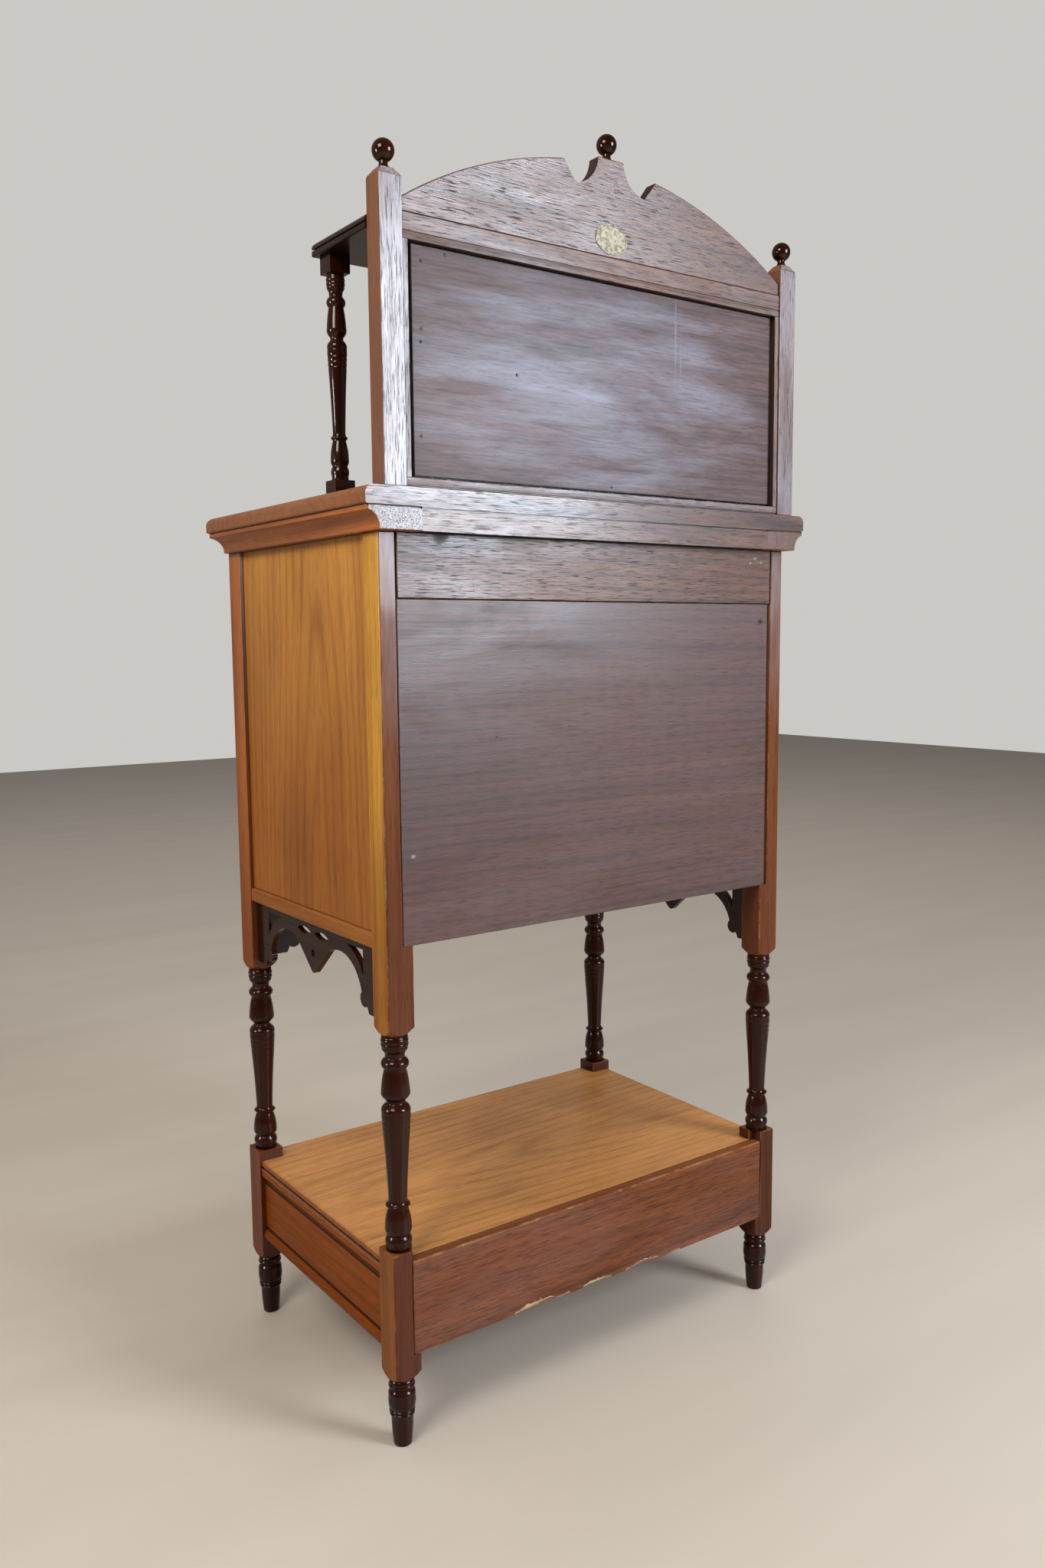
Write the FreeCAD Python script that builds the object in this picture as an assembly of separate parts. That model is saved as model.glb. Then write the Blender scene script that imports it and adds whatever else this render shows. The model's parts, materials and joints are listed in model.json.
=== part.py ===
import FreeCAD
import Part
import math
import os

Vector = FreeCAD.Vector

# Late-Victorian side cabinet in millimetres: +Z up, front towards -Y, +X on the right of a person facing it.
# The origin is on the floor, in the middle of the cornice's outline.

# Corner posts
HALF_WIDTH = 300.0
FRONT = -192.0
BACK = 192.0
POST = 33.0
FOOT_TOP = 80.0
BLOCK_TOP = 231.0
LEG_TOP = 476.0
POST_TOP = 1012.0
POMMEL_RADIUS = 14.6
INNER_X = HALF_WIDTH - POST
FRONT_INNER_Y = FRONT + POST
BACK_INNER_Y = BACK - POST
SPAN_MIDDLE_Y = (FRONT_INNER_Y + BACK_INNER_Y) / 2
TENON = 12.0

# Turned work, cut from the top down: (length, radius at its lower end, bulge of the arc between)
LEG_RADIUS = 14.5
LEG_CUTS = [
    (4, 14.5, 0), (5, 14.5, 0.9), (5, 14.3, 0.9), (4, 13.4, 0.6), (6, 11.0, -0.8), (3, 11.6, -0.4),
    (1, 13.2, 0), (10, 13.2, 2.4), (1, 12.3, 0), (25, 16.0, 0.6), (10, 11.2, 2.0), (4, 11.2, -0.6),
    (10, 15.9, 2.2), (8, 16.0, 0.2), (1.2, 15.2, 0), (1.2, 15.8, 0), (4, 15.6, 0), (1.2, 14.8, 0),
    (1.2, 15.4, 0), (4, 15.2, 0), (1.2, 14.4, 0), (1.2, 15.0, 0), (78, 10.4, -0.5), (3, 11.2, 0),
    (5, 11.2, 2.6), (3, 11.6, -0.3), (20, 15.0, 0.9), (8, 12.8, 1.0), (2, 13.0, -0.4), (11, 13.6, 1.7),
    (5, 14.2, 0),
]
FOOT_RADIUS = 14.0
FOOT_CUTS = [
    (7, 13.8, 0), (4, 13.8, 0.8), (3, 13.2, -0.2), (2, 13.4, 0.7), (11, 15.6, 0.6), (11, 14.8, 0.3),
    (1.5, 14.1, 0), (1.5, 14.5, 0), (1.5, 13.9, 0), (1.5, 14.2, 0), (31, 10.8, 0.5), (3, 9.8, 0.3),
]

# Cupboard
PANEL = 8.0
PANEL_RECESS = 5.0
PANEL_TONGUE = 6.0
SIDE_RAIL_BOTTOM = 568.0
SIDE_RAIL_TOP = 586.0
SIDE_RAIL = 20.0
BACK_BOARD = 7.0
BACK_PANEL_BOTTOM = 574.0
BACK_JOINT = 943.0
BACK_STRIP = 20.0
BOTTOM_BOARD = 14.0
RAIL_SET_BACK = 2.0
FRONT_RAIL = 20.0
BOTTOM_RAIL_TOP = 590.0
FRIEZE_BOTTOM = 984.0
INNER_SHELF_Z = 770.0
INNER_SHELF_FRONT = -150.0
BATTEN = 12.0

# Fretwork, measured along the span from its middle pendant and up from the floor
FRET = 7.0
FRET_RECESS = 8.0
FRET_HALF_SPAN = (BACK_INNER_Y - FRONT_INNER_Y) / 2
FRET_BOTTOM = 489.0
BRACKET_TOE = 135.0
SLOPE_TOP = 38.0
SLOPE_TOP_Z = 538.0
SLOPE_END = 6.0
SLOPE_END_Z = 510.0
PENDANT_TIP = 507.0
PENDANT_HOLE = 4.5
PENDANT_HOLE_Z = 531.0

# Cornice
CORNICE_JOINT = 1037.0
CORNICE_TOP = 1056.0
SIDE_OVERHANG = 22.0
BACK_OVERHANG = 16.0
STEP = 3.0
COVE_WIDTH = 11.5
COVE_RADIUS = 18.3
COVE_LIP = 1.5
NOSING = 9.0
PROFILE = STEP + COVE_LIP + COVE_WIDTH
CORNICE_X = HALF_WIDTH + SIDE_OVERHANG
CORNICE_FRONT = FRONT - PROFILE
CORNICE_BACK = BACK + BACK_OVERHANG
CORNICE_INNER = 50.0

# Base
BASE_BOTTOM = 108.0
SHELF_BOTTOM = 204.0
SHELF_TOP = 218.0
SHELF_SET_BACK = 2.0
APRON_INNER = HALF_WIDTH - 20.0
APRON_FACE = HALF_WIDTH - 6.5
REED_FOOT = 1.0
REED_DROP = 8.5
REEDS_DROP = 16.5
BEAD_RISE = 14.5
QUIRK = 2.2
QUIRK_DEPTH = 1.8
BACK_APRON = 14.0
BACK_APRON_LAP = 9.0
BACK_APRON_GAP = 0.5
BASE_RAIL_TOP = 120.0

# Drawer
DRAWER_FRONT = 18.0
DRAWER_ROUND = 2.5
DRAWER_GAP = 1.2
DRAWER_SIDE = 10.0
DRAWER_SIDE_TOP = 196.0
DRAWER_SIDE_BOTTOM = 124.0
DRAWER_BACK_Y = 146.0
DRAWER_BOTTOM = 6.0
DRAWER_BOTTOM_Z = 129.0
RUNNER_TOP = 123.6
KNOB_X = 150.0
KNOB_Z = 162.0
KNOB_CUTS = [(2, 9.0, 0), (4, 5.0, -1.2), (2.5, 7.0, -0.6), (5, 9.5, 2.2), (3, 0.6, 1.4)]

# Gallery
GALLERY_POST_X = 27.0
GALLERY_POST_Y = 25.0
GALLERY_POST_TOP = 1357.0
GALLERY_CAP_TOP = 1365.0
GALLERY_CAP = 14.0
GALLERY_INNER_X = HALF_WIDTH - GALLERY_POST_X
GALLERY_FRONT = CORNICE_BACK - GALLERY_POST_Y
FRAME_FRONT = GALLERY_FRONT + 3.0
FRAME_BACK = CORNICE_BACK - 2.0
STILE = 7.0
OPENING_X = GALLERY_INNER_X - STILE
OPENING_BOTTOM = 1066.0
OPENING_TOP = 1299.0
GLASS = 3.0
BEAD = 12.0
BEAD_DEPTH = 4.0
BEAD_ROUND = 3.0
BEAD_FRONT = FRAME_FRONT - 2.0
GALLERY_BOARD = 8.0
BOARD_GAP_RIGHT = 7.0
BOARD_GAP_BOTTOM = 2.5
BOARD_GAP = 0.5
PEDIMENT_BOTTOM = 1325.0
PEDIMENT = 16.0
PEDIMENT_BACK = FRAME_BACK - 1.5
PEDIMENT_END_Z = 1339.0
SHOULDER_X = 66.0
SHOULDER_Z = 1419.0
NOTCH_X = 50.0
NOTCH_Z = 1397.0
CUSP_X = 18.0
CUSP_Z = 1431.0
ARCH_MIDDLE = (170.0, 1391.5)
FINIAL_BALL = 11.5
FINIAL_BALL_HEIGHT = 17.0
FINIAL_NECK = 4.6
FINIAL_FOOT = 6.8
GALLERY_SHELF_X = 302.0
GALLERY_SHELF_FRONT = 66.0
GALLERY_SHELF_BOTTOM = 1309.0
GALLERY_SHELF_TOP = 1324.0
SHELF_LIP = 6.0
SHELF_BEAD = 6.0
SHELF_BEAD_ROUND = 2.0
SHELF_QUIRK = 1.8
SHELF_QUIRK_DEPTH = 2.5
SPINDLE_BLOCK = 24.0
SPINDLE_LOWER = 1074.0
SPINDLE_UPPER = 1290.0
SPINDLE_SCALE = 0.66
PLATE_WIDTH = 46.0
PLATE_HEIGHT = 32.0
PLATE = 0.8
PLATE_Z = 1345.0

# Doors
DOOR = 18.0
DOOR_SET_BACK = 4.0
DOOR_FRONT = FRONT + DOOR_SET_BACK
DOOR_BACK = DOOR_FRONT + DOOR
DOOR_BOTTOM = BOTTOM_RAIL_TOP + 1.5
DOOR_TOP = FRIEZE_BOTTOM - 1.5
DOOR_HINGE_GAP = 1.0
DOOR_MEETING_GAP = 1.2
DOOR_OUTER_X = INNER_X - DOOR_HINGE_GAP
DOOR_STILE = 42.0
DOOR_RAIL = 48.0
DOOR_PANEL = 6.0
DOOR_PANEL_TONGUE = 6.0
DOOR_BEVEL = 4.0
FIELD_MARGIN = 26.0
FIELD_RISE = 5.0

# Butt hinges
HINGE_X = INNER_X - DOOR_HINGE_GAP / 2
HINGE_Y = FRONT - 3.6
HINGE_LENGTH = 54.0
HINGE_Z = (650.0, 924.0)
LEAF = 1.4
LEAF_END = DOOR_FRONT + 13.0
KNUCKLE = 3.2
KNUCKLE_CLEARANCE = 0.7
KNUCKLE_GAP = 0.3
PIN = 1.6
PIN_CLEARANCE = 0.05
PIN_HEAD = 2.2

# Lock, key and bolt
KEY_X = 23.0
KEY_Z = 812.0
KEY_SHANK = 2.2
KEYHOLE = 2.6
KEYHOLE_SLOT = 9.0
KEY_TIP = -207.5
KEY_BOW_LENGTH = 14.0
KEY_BOW_WIDTH = 16.0
KEY_BOW = 2.6
BIT_RADIUS = 8.49
BIT = 2.0
BIT_ANGLE = 45.0
BOLT_DEPTH = 5.0
BOLT_START_Y = DOOR_BACK + 2.5
BOLT_LOW = 6.5
BOLT_HIGH = 18.5
BOLT_LEFT = 3.6
BOLT_RIGHT = 36.0
TALON_HALF = 3.2
TALON_TOP = 9.4
CASE_LEFT = 4.0
CASE_RIGHT = 42.0
CASE_LOW = 16.0
CASE_HIGH = 20.4
CASE_DEPTH = 12.0
CASE_WALL = 1.6
SLIDE_GAP = 0.3
ESCUTCHEON_WIDTH = 17.0
ESCUTCHEON_HEIGHT = 30.0
ESCUTCHEON = 1.2
ROD = 3.0
ROD_X = -28.0
ROD_Y = DOOR_BACK + 5.5
ROD_BOTTOM = 924.0
ROD_TOP = DOOR_TOP - 0.5
ROD_KNOB_Z = 944.0
ROD_KNOB = 2.2
ROD_KNOB_LENGTH = 9.0
ROD_CLEARANCE = 0.08
ROD_PLATE = 1.5
ROD_PLATE_WIDTH = 18.0
ROD_PLATE_LOW = 926.0
ROD_PLATE_HIGH = 978.0
ROD_KEEPER = 8.0
ROD_KEEPERS_Z = (928.0, 966.0)


def box(x0, x1, y0, y1, z0, z1):
    return Part.makeBox(x1 - x0, y1 - y0, z1 - z0, Vector(x0, y0, z0))


def one_solid(shape):
    """The shape as one sound solid, or an error."""
    shape = shape.removeSplitter()
    if len(shape.Solids) != 1 or not shape.isValid():
        raise ValueError("expected one valid solid, found %d" % len(shape.Solids))
    return shape.Solids[0]


def mirrored(shape):
    return shape.mirror(Vector(0, 0, 0), Vector(1, 0, 0))


def save(name, *solids):
    shape = solids[0] if len(solids) == 1 else Part.makeCompound(list(solids))
    shape.exportStep("parts/%s.step" % name)
    print(name, len(shape.Solids), "solids, valid" if shape.isValid() else "solids, NOT VALID")


def arc(start, middle, end):
    return Part.Arc(start, middle, end).toShape()


def polygon_face(points):
    return Part.Face(Part.makePolygon(points + points[:1]))


def turned(radius, cuts, length_scale=1.0, radius_scale=1.0):
    """A turning about +Z that starts at z = 0 with the given radius and goes down by its cuts."""
    here = Vector(radius * radius_scale, 0, 0)
    edges = [Part.makeLine(Vector(0, 0, 0), here)]
    for length, end_radius, bulge in cuts:
        there = Vector(end_radius * radius_scale, 0, here.z - length * length_scale)
        if bulge:
            middle = (here + there) * 0.5 + Vector(bulge * radius_scale, 0, 0)
            edges.append(arc(here, middle, there))
        else:
            edges.append(Part.makeLine(here, there))
        here = there
    edges.append(Part.makeLine(here, Vector(0, 0, here.z)))
    edges.append(Part.makeLine(Vector(0, 0, here.z), Vector(0, 0, 0)))
    return Part.Face(Part.Wire(edges)).revolve(Vector(0, 0, 0), Vector(0, 0, 1), 360)


def total_length(cuts):
    return sum(cut[0] for cut in cuts)


def pommelled_block(size, bottom, top):
    """A square block about the Z axis whose lower end is turned to a cone of 45 degrees."""
    half = size / 2
    block = box(-half, half, -half, half, bottom, top)
    cone_height = size - POMMEL_RADIUS
    cone = Part.makeCone(POMMEL_RADIUS, size, cone_height, Vector(0, 0, bottom))
    body = Part.makeCylinder(size, top - bottom - cone_height, Vector(0, 0, bottom + cone_height))
    return block.common(cone.fuse(body))


def corner_post():
    """Foot, block, leg and square post about the Z axis, from one timber."""
    foot = turned(FOOT_RADIUS, FOOT_CUTS, FOOT_TOP / total_length(FOOT_CUTS))
    foot.translate(Vector(0, 0, FOOT_TOP))
    leg = turned(LEG_RADIUS, LEG_CUTS, (LEG_TOP - BLOCK_TOP) / total_length(LEG_CUTS))
    leg.translate(Vector(0, 0, LEG_TOP))
    block = pommelled_block(POST, FOOT_TOP, BLOCK_TOP)
    square = pommelled_block(POST, LEG_TOP, POST_TOP)
    return foot.fuse([block, leg, square])


def tenoned_rail(body, length_axis, tenon_low, tenon_high, start, end):
    """A rail with a tenon at each end; tenon corners are given across the length axis."""
    (a0, z0), (a1, z1) = tenon_low, tenon_high
    if length_axis == "x":
        tenon = box(start - TENON, end + TENON, a0, a1, z0, z1)
    else:
        tenon = box(a0, a1, start - TENON, end + TENON, z0, z1)
    return one_solid(body.fuse(tenon))


def rounded(shape, radius, keep):
    """Fillet the edges for which keep(edge centre, edge) is true."""
    edges = [edge for edge in shape.Edges if keep(edge.CenterOfMass, edge)]
    return shape.makeFillet(radius, edges)


def side_panel():
    outer = HALF_WIDTH - PANEL_RECESS
    return box(outer - PANEL, outer, FRONT_INNER_Y - PANEL_TONGUE, BACK_INNER_Y + PANEL_TONGUE,
               SIDE_RAIL_TOP, POST_TOP)


def side_bottom_rail():
    outer = HALF_WIDTH - 1.0
    body = box(outer - SIDE_RAIL, outer, FRONT_INNER_Y, BACK_INNER_Y, SIDE_RAIL_BOTTOM, SIDE_RAIL_TOP)
    body = rounded(body, 3.5, lambda c, e: abs(c.x - outer) < 0.01 and abs(c.y - SPAN_MIDDLE_Y) < 1)
    return tenoned_rail(body, "y", (outer - 15, SIDE_RAIL_BOTTOM + 4), (outer - 7, SIDE_RAIL_TOP - 4),
                        FRONT_INNER_Y, BACK_INNER_Y)


def front_rail(bottom, top, half_width=INNER_X):
    """A rail between the front posts, tenoned into both."""
    front = FRONT + RAIL_SET_BACK
    body = box(-half_width, half_width, front, front + FRONT_RAIL, bottom, top)
    return tenoned_rail(body, "x", (front + 6, bottom + 3), (front + 14, top - 3), -half_width, half_width)


def back_panel():
    return box(-HALF_WIDTH + BACK_STRIP + 6, HALF_WIDTH - BACK_STRIP - 1, BACK - BACK_BOARD, BACK,
               BACK_PANEL_BOTTOM, BACK_JOINT)


def back_top_rail():
    return box(-HALF_WIDTH + BACK_STRIP + 2, HALF_WIDTH - BACK_STRIP - 2, BACK - BACK_BOARD, BACK,
               BACK_JOINT + 1.0, POST_TOP)


def base_side_apron():
    """Base side: a moulded strip of two reeds at the top, a plain face and a bead at the bottom."""
    def below_top(offset, drop):
        return Vector(APRON_FACE + offset, FRONT_INNER_Y, SHELF_BOTTOM - drop)

    def above_bottom(offset, rise):
        return Vector(APRON_FACE + offset, FRONT_INNER_Y, BASE_BOTTOM + rise)

    plain = [below_top(REED_FOOT, REEDS_DROP), below_top(-QUIRK_DEPTH, REEDS_DROP + 0.5),
             below_top(0, REEDS_DROP + QUIRK), above_bottom(0, BEAD_RISE + QUIRK),
             above_bottom(-QUIRK_DEPTH, BEAD_RISE + QUIRK / 2), above_bottom(0, BEAD_RISE)]
    inner = [above_bottom(0, 0), Vector(APRON_INNER, FRONT_INNER_Y, BASE_BOTTOM),
             Vector(APRON_INNER, FRONT_INNER_Y, SHELF_BOTTOM), below_top(REED_FOOT, 0)]
    edges = [
        arc(below_top(REED_FOOT, 0), below_top(4.2, 4.2), below_top(REED_FOOT, REED_DROP)),
        arc(below_top(REED_FOOT, REED_DROP), below_top(3.4, 12.3), plain[0]),
        arc(plain[-1], above_bottom(4.0, BEAD_RISE / 2), inner[0]),
    ]
    for points in (plain, inner):
        edges += [Part.makeLine(a, b) for a, b in zip(points, points[1:])]
    section = Part.Face(Part.Wire(Part.__sortEdges__(edges)))
    body = section.extrude(Vector(0, BACK_INNER_Y - FRONT_INNER_Y, 0))
    return tenoned_rail(body, "y", (APRON_INNER + 3, BASE_BOTTOM + 12), (APRON_INNER + 9, SHELF_BOTTOM - 8),
                        FRONT_INNER_Y, BACK_INNER_Y)


def base_back_apron():
    half = INNER_X + BACK_APRON_LAP - BACK_APRON_GAP
    return box(-half, half, BACK - BACK_APRON, BACK - BACK_APRON_GAP, BASE_BOTTOM, SHELF_TOP)


def post_squares():
    """Square outlines of the four corner posts, as tall boxes."""
    boxes = []
    for x0 in (-HALF_WIDTH, INNER_X):
        for y0 in (FRONT, BACK_INNER_Y):
            boxes.append(box(x0, x0 + POST, y0, y0 + POST, 0, POST_TOP))
    return boxes


def lower_shelf():
    half = HALF_WIDTH - SHELF_SET_BACK
    board = box(-half, half, FRONT + SHELF_SET_BACK, BACK - BACK_APRON, SHELF_BOTTOM, SHELF_TOP)
    front = FRONT + SHELF_SET_BACK
    board = rounded(board, 5.0, lambda c, e: abs(c.z - SHELF_TOP) < 0.01
                    and (abs(abs(c.x) - half) < 0.01 or abs(c.y - front) < 0.01))
    return one_solid(board.cut(post_squares()))


def cabinet_bottom():
    half = HALF_WIDTH - 1.0 - SIDE_RAIL
    front = FRONT + RAIL_SET_BACK + FRONT_RAIL
    board = box(-half, half, front, BACK - BACK_BOARD, SIDE_RAIL_TOP - BOTTOM_BOARD, SIDE_RAIL_TOP)
    return one_solid(board.cut(post_squares()))


def inner_shelf():
    half = HALF_WIDTH - PANEL_RECESS - PANEL
    board = box(-half, half, INNER_SHELF_FRONT, BACK - BACK_BOARD,
                INNER_SHELF_Z, INNER_SHELF_Z + BOTTOM_BOARD)
    board = rounded(board, 4.0, lambda c, e: abs(c.y - INNER_SHELF_FRONT) < 0.01 and e.Length > half)
    return one_solid(board.cut(post_squares()))


def shelf_batten():
    outer = HALF_WIDTH - PANEL_RECESS - PANEL
    return box(outer - BATTEN, outer, INNER_SHELF_FRONT, BACK_INNER_Y, INNER_SHELF_Z - BATTEN, INNER_SHELF_Z)


def fret_half_edges(shift):
    """Outline of half a fretwork; shift moves the bracket out to make room for one more pendant."""
    def middle(u, z):
        return Vector(u, 0, z)

    def outer(u, z):
        return Vector(u + shift, 0, z)

    top_middle = middle(0, SIDE_RAIL_BOTTOM)
    straight = [top_middle, outer(FRET_HALF_SPAN, SIDE_RAIL_BOTTOM), outer(FRET_HALF_SPAN, FRET_BOTTOM),
                outer(BRACKET_TOE, FRET_BOTTOM), outer(131, 497)]
    edges = [Part.makeLine(a, b) for a, b in zip(straight, straight[1:])]
    edges += [
        arc(straight[-1], outer(116, 501), outer(119, 511)),
        arc(outer(119, 511), outer(103, 535.5), outer(60, 547)),
        arc(outer(60, 547), outer(48, 544.5), outer(SLOPE_TOP, SLOPE_TOP_Z)),
        Part.makeLine(outer(SLOPE_TOP, SLOPE_TOP_Z), outer(SLOPE_END, SLOPE_END_Z)),
    ]
    if shift:
        edges += [
            arc(outer(SLOPE_END, SLOPE_END_Z), outer(0, PENDANT_TIP), outer(-SLOPE_END, SLOPE_END_Z)),
            Part.makeLine(outer(-SLOPE_END, SLOPE_END_Z), outer(-SLOPE_TOP, SLOPE_TOP_Z)),
            arc(outer(-SLOPE_TOP, SLOPE_TOP_Z), middle(shift / 2, 543.5), middle(SLOPE_TOP, SLOPE_TOP_Z)),
            Part.makeLine(middle(SLOPE_TOP, SLOPE_TOP_Z), middle(SLOPE_END, SLOPE_END_Z)),
        ]
    edges.append(arc(middle(SLOPE_END, SLOPE_END_Z), middle(3.2, 507.8), middle(0, PENDANT_TIP)))
    edges.append(Part.makeLine(middle(0, PENDANT_TIP), top_middle))
    return edges


def fret_piercings(shift):
    """Slots over the pendant and the curved triangle in the bracket, for one half."""
    def at(u, z):
        return Vector(u + shift, 0, z)

    slot = [arc(at(5, 555.5), at(22, 560), at(40, 555.5)), arc(at(40, 555.5), at(22, 551), at(5, 555.5))]
    triangle = [Part.makeLine(at(84, 560), at(124, 560)), Part.makeLine(at(124, 560), at(124, 529)),
                arc(at(124, 529), at(111, 546.5), at(84, 560))]
    return [slot, triangle]


def fretwork(shift):
    """Pierced fretwork in the XZ plane, its middle at x = 0 and its back face at y = 0."""
    def plate(edges):
        return Part.Face(Part.Wire(edges)).extrude(Vector(0, FRET, 0))

    def round_hole(u):
        return Part.makeCylinder(PENDANT_HOLE, FRET, Vector(u, 0, PENDANT_HOLE_Z), Vector(0, 1, 0))

    holes = [plate(edges) for edges in fret_piercings(shift)]
    if shift:
        slot = plate(fret_piercings(0)[0])
        holes += [slot, mirrored(slot).translated(Vector(shift, 0, 0)), round_hole(shift)]
    half = plate(fret_half_edges(shift)).cut(holes)
    return one_solid(half.fuse(mirrored(half)).cut(round_hole(0)))


def side_fretwork():
    plate = fretwork(0.0)
    plate.rotate(Vector(0, 0, 0), Vector(0, 0, 1), 90)
    plate.translate(Vector(HALF_WIDTH - FRET_RECESS, SPAN_MIDDLE_Y, 0))
    return plate


def front_fretwork():
    plate = fretwork(INNER_X - FRET_HALF_SPAN)
    plate.translate(Vector(0, FRONT + FRET_RECESS, 0))
    return plate


def cornice_profile(at):
    """Cove section from the post's face (offset 0) outwards; at(offset, z) gives the points."""
    cove_bottom = POST_TOP + 2.0
    rise = math.sqrt(COVE_RADIUS ** 2 - (COVE_WIDTH - COVE_RADIUS) ** 2)
    half_turn = (math.pi + math.acos((COVE_WIDTH - COVE_RADIUS) / COVE_RADIUS)) / 2
    middle = at(COVE_RADIUS * (1 + math.cos(half_turn)), cove_bottom + COVE_RADIUS * math.sin(half_turn))
    points = [
        at(COVE_WIDTH, cove_bottom + rise),
        at(COVE_WIDTH + COVE_LIP, cove_bottom + rise),
        at(COVE_WIDTH + COVE_LIP, CORNICE_JOINT),
        at(-CORNICE_INNER, CORNICE_JOINT),
        at(-CORNICE_INNER, POST_TOP),
        at(0, POST_TOP),
        at(0, cove_bottom),
    ]
    edges = [Part.makeLine(a, b) for a, b in zip(points, points[1:])]
    edges.append(arc(at(0, cove_bottom), middle, points[0]))
    return Part.Face(Part.Wire(edges))


SIDE_COVE_X = CORNICE_X - PROFILE
MITRE_INNER_X = SIDE_COVE_X - CORNICE_INNER
MITRE_INNER_Y = FRONT + CORNICE_INNER


def prism(points, bottom, top):
    face = polygon_face([Vector(x, y, bottom) for x, y in points])
    return face.extrude(Vector(0, 0, top - bottom))


def cornice_side_moulding():
    run = cornice_profile(lambda offset, z: Vector(SIDE_COVE_X + offset, CORNICE_FRONT, z))
    run = run.extrude(Vector(0, CORNICE_BACK - CORNICE_FRONT, 0))
    outline = [(MITRE_INNER_X, MITRE_INNER_Y), (CORNICE_X, CORNICE_FRONT), (CORNICE_X, CORNICE_BACK),
               (MITRE_INNER_X, CORNICE_BACK)]
    return one_solid(run.common(prism(outline, POST_TOP, CORNICE_JOINT)))


def cornice_front_moulding():
    run = cornice_profile(lambda offset, z: Vector(-CORNICE_X, FRONT - offset, z))
    run = run.extrude(Vector(2 * CORNICE_X, 0, 0))
    outline = [(-CORNICE_X, CORNICE_FRONT), (CORNICE_X, CORNICE_FRONT), (MITRE_INNER_X, MITRE_INNER_Y),
               (-MITRE_INNER_X, MITRE_INNER_Y)]
    return one_solid(run.common(prism(outline, POST_TOP, CORNICE_JOINT)))


def cornice_back_rail():
    return box(-MITRE_INNER_X, MITRE_INNER_X, BACK_INNER_Y, CORNICE_BACK, POST_TOP, CORNICE_JOINT)


def top_board():
    board = box(-CORNICE_X, CORNICE_X, CORNICE_FRONT, CORNICE_BACK, CORNICE_JOINT, CORNICE_TOP)

    def moulded(level):
        return lambda c, e: abs(c.z - level) < 0.01 and (
            abs(abs(c.x) - CORNICE_X) < 0.01 or abs(c.y - CORNICE_FRONT) < 0.01)

    board = rounded(board, NOSING, moulded(CORNICE_TOP))
    return one_solid(rounded(board, 2.5, moulded(CORNICE_JOINT)))


def square_wire(half_x, half_y, x, y, z):
    corners = [(-1, -1), (1, -1), (1, 1), (-1, 1), (-1, -1)]
    return Part.makePolygon([Vector(x + half_x * a, y + half_y * b, z) for a, b in corners])


GALLERY_POST_AXIS = (HALF_WIDTH - GALLERY_POST_X / 2, CORNICE_BACK - GALLERY_POST_Y / 2)


def gallery_post():
    x, y = GALLERY_POST_AXIS
    shaft = box(GALLERY_INNER_X, HALF_WIDTH, GALLERY_FRONT, CORNICE_BACK, CORNICE_TOP, GALLERY_POST_TOP)
    cap = Part.makeLoft([square_wire(GALLERY_POST_X / 2, GALLERY_POST_Y / 2, x, y, GALLERY_POST_TOP),
                         square_wire(GALLERY_CAP / 2, GALLERY_CAP / 2, x, y, GALLERY_CAP_TOP)], True, True)
    return one_solid(shaft.fuse(cap))


def gallery_rail(bottom, top):
    return box(-GALLERY_INNER_X, GALLERY_INNER_X, FRAME_FRONT, FRAME_BACK, bottom, top)


def gallery_stile():
    return box(OPENING_X, GALLERY_INNER_X, FRAME_FRONT, FRAME_BACK, OPENING_BOTTOM, OPENING_TOP)


def pediment():
    """Arched board, broken at the top by two notches about a concave-sided cusp."""
    y = PEDIMENT_BACK - PEDIMENT

    def at(x, z):
        return Vector(x, y, z)

    radius = NOTCH_X - CUSP_X
    bend = radius * math.sqrt(0.5)
    edges = [
        Part.makeLine(at(0, PEDIMENT_BOTTOM), at(GALLERY_INNER_X, PEDIMENT_BOTTOM)),
        Part.makeLine(at(GALLERY_INNER_X, PEDIMENT_BOTTOM), at(GALLERY_INNER_X, PEDIMENT_END_Z)),
        arc(at(GALLERY_INNER_X, PEDIMENT_END_Z), at(*ARCH_MIDDLE), at(SHOULDER_X, SHOULDER_Z)),
        Part.makeLine(at(SHOULDER_X, SHOULDER_Z), at(NOTCH_X, NOTCH_Z)),
        arc(at(NOTCH_X, NOTCH_Z), at(NOTCH_X - bend, CUSP_Z - bend), at(CUSP_X, CUSP_Z)),
        Part.makeLine(at(CUSP_X, CUSP_Z), at(0, CUSP_Z)),
        Part.makeLine(at(0, CUSP_Z), at(0, PEDIMENT_BOTTOM)),
    ]
    half = Part.Face(Part.Wire(edges)).extrude(Vector(0, PEDIMENT, 0))
    return one_solid(half.fuse(mirrored(half)))


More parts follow.
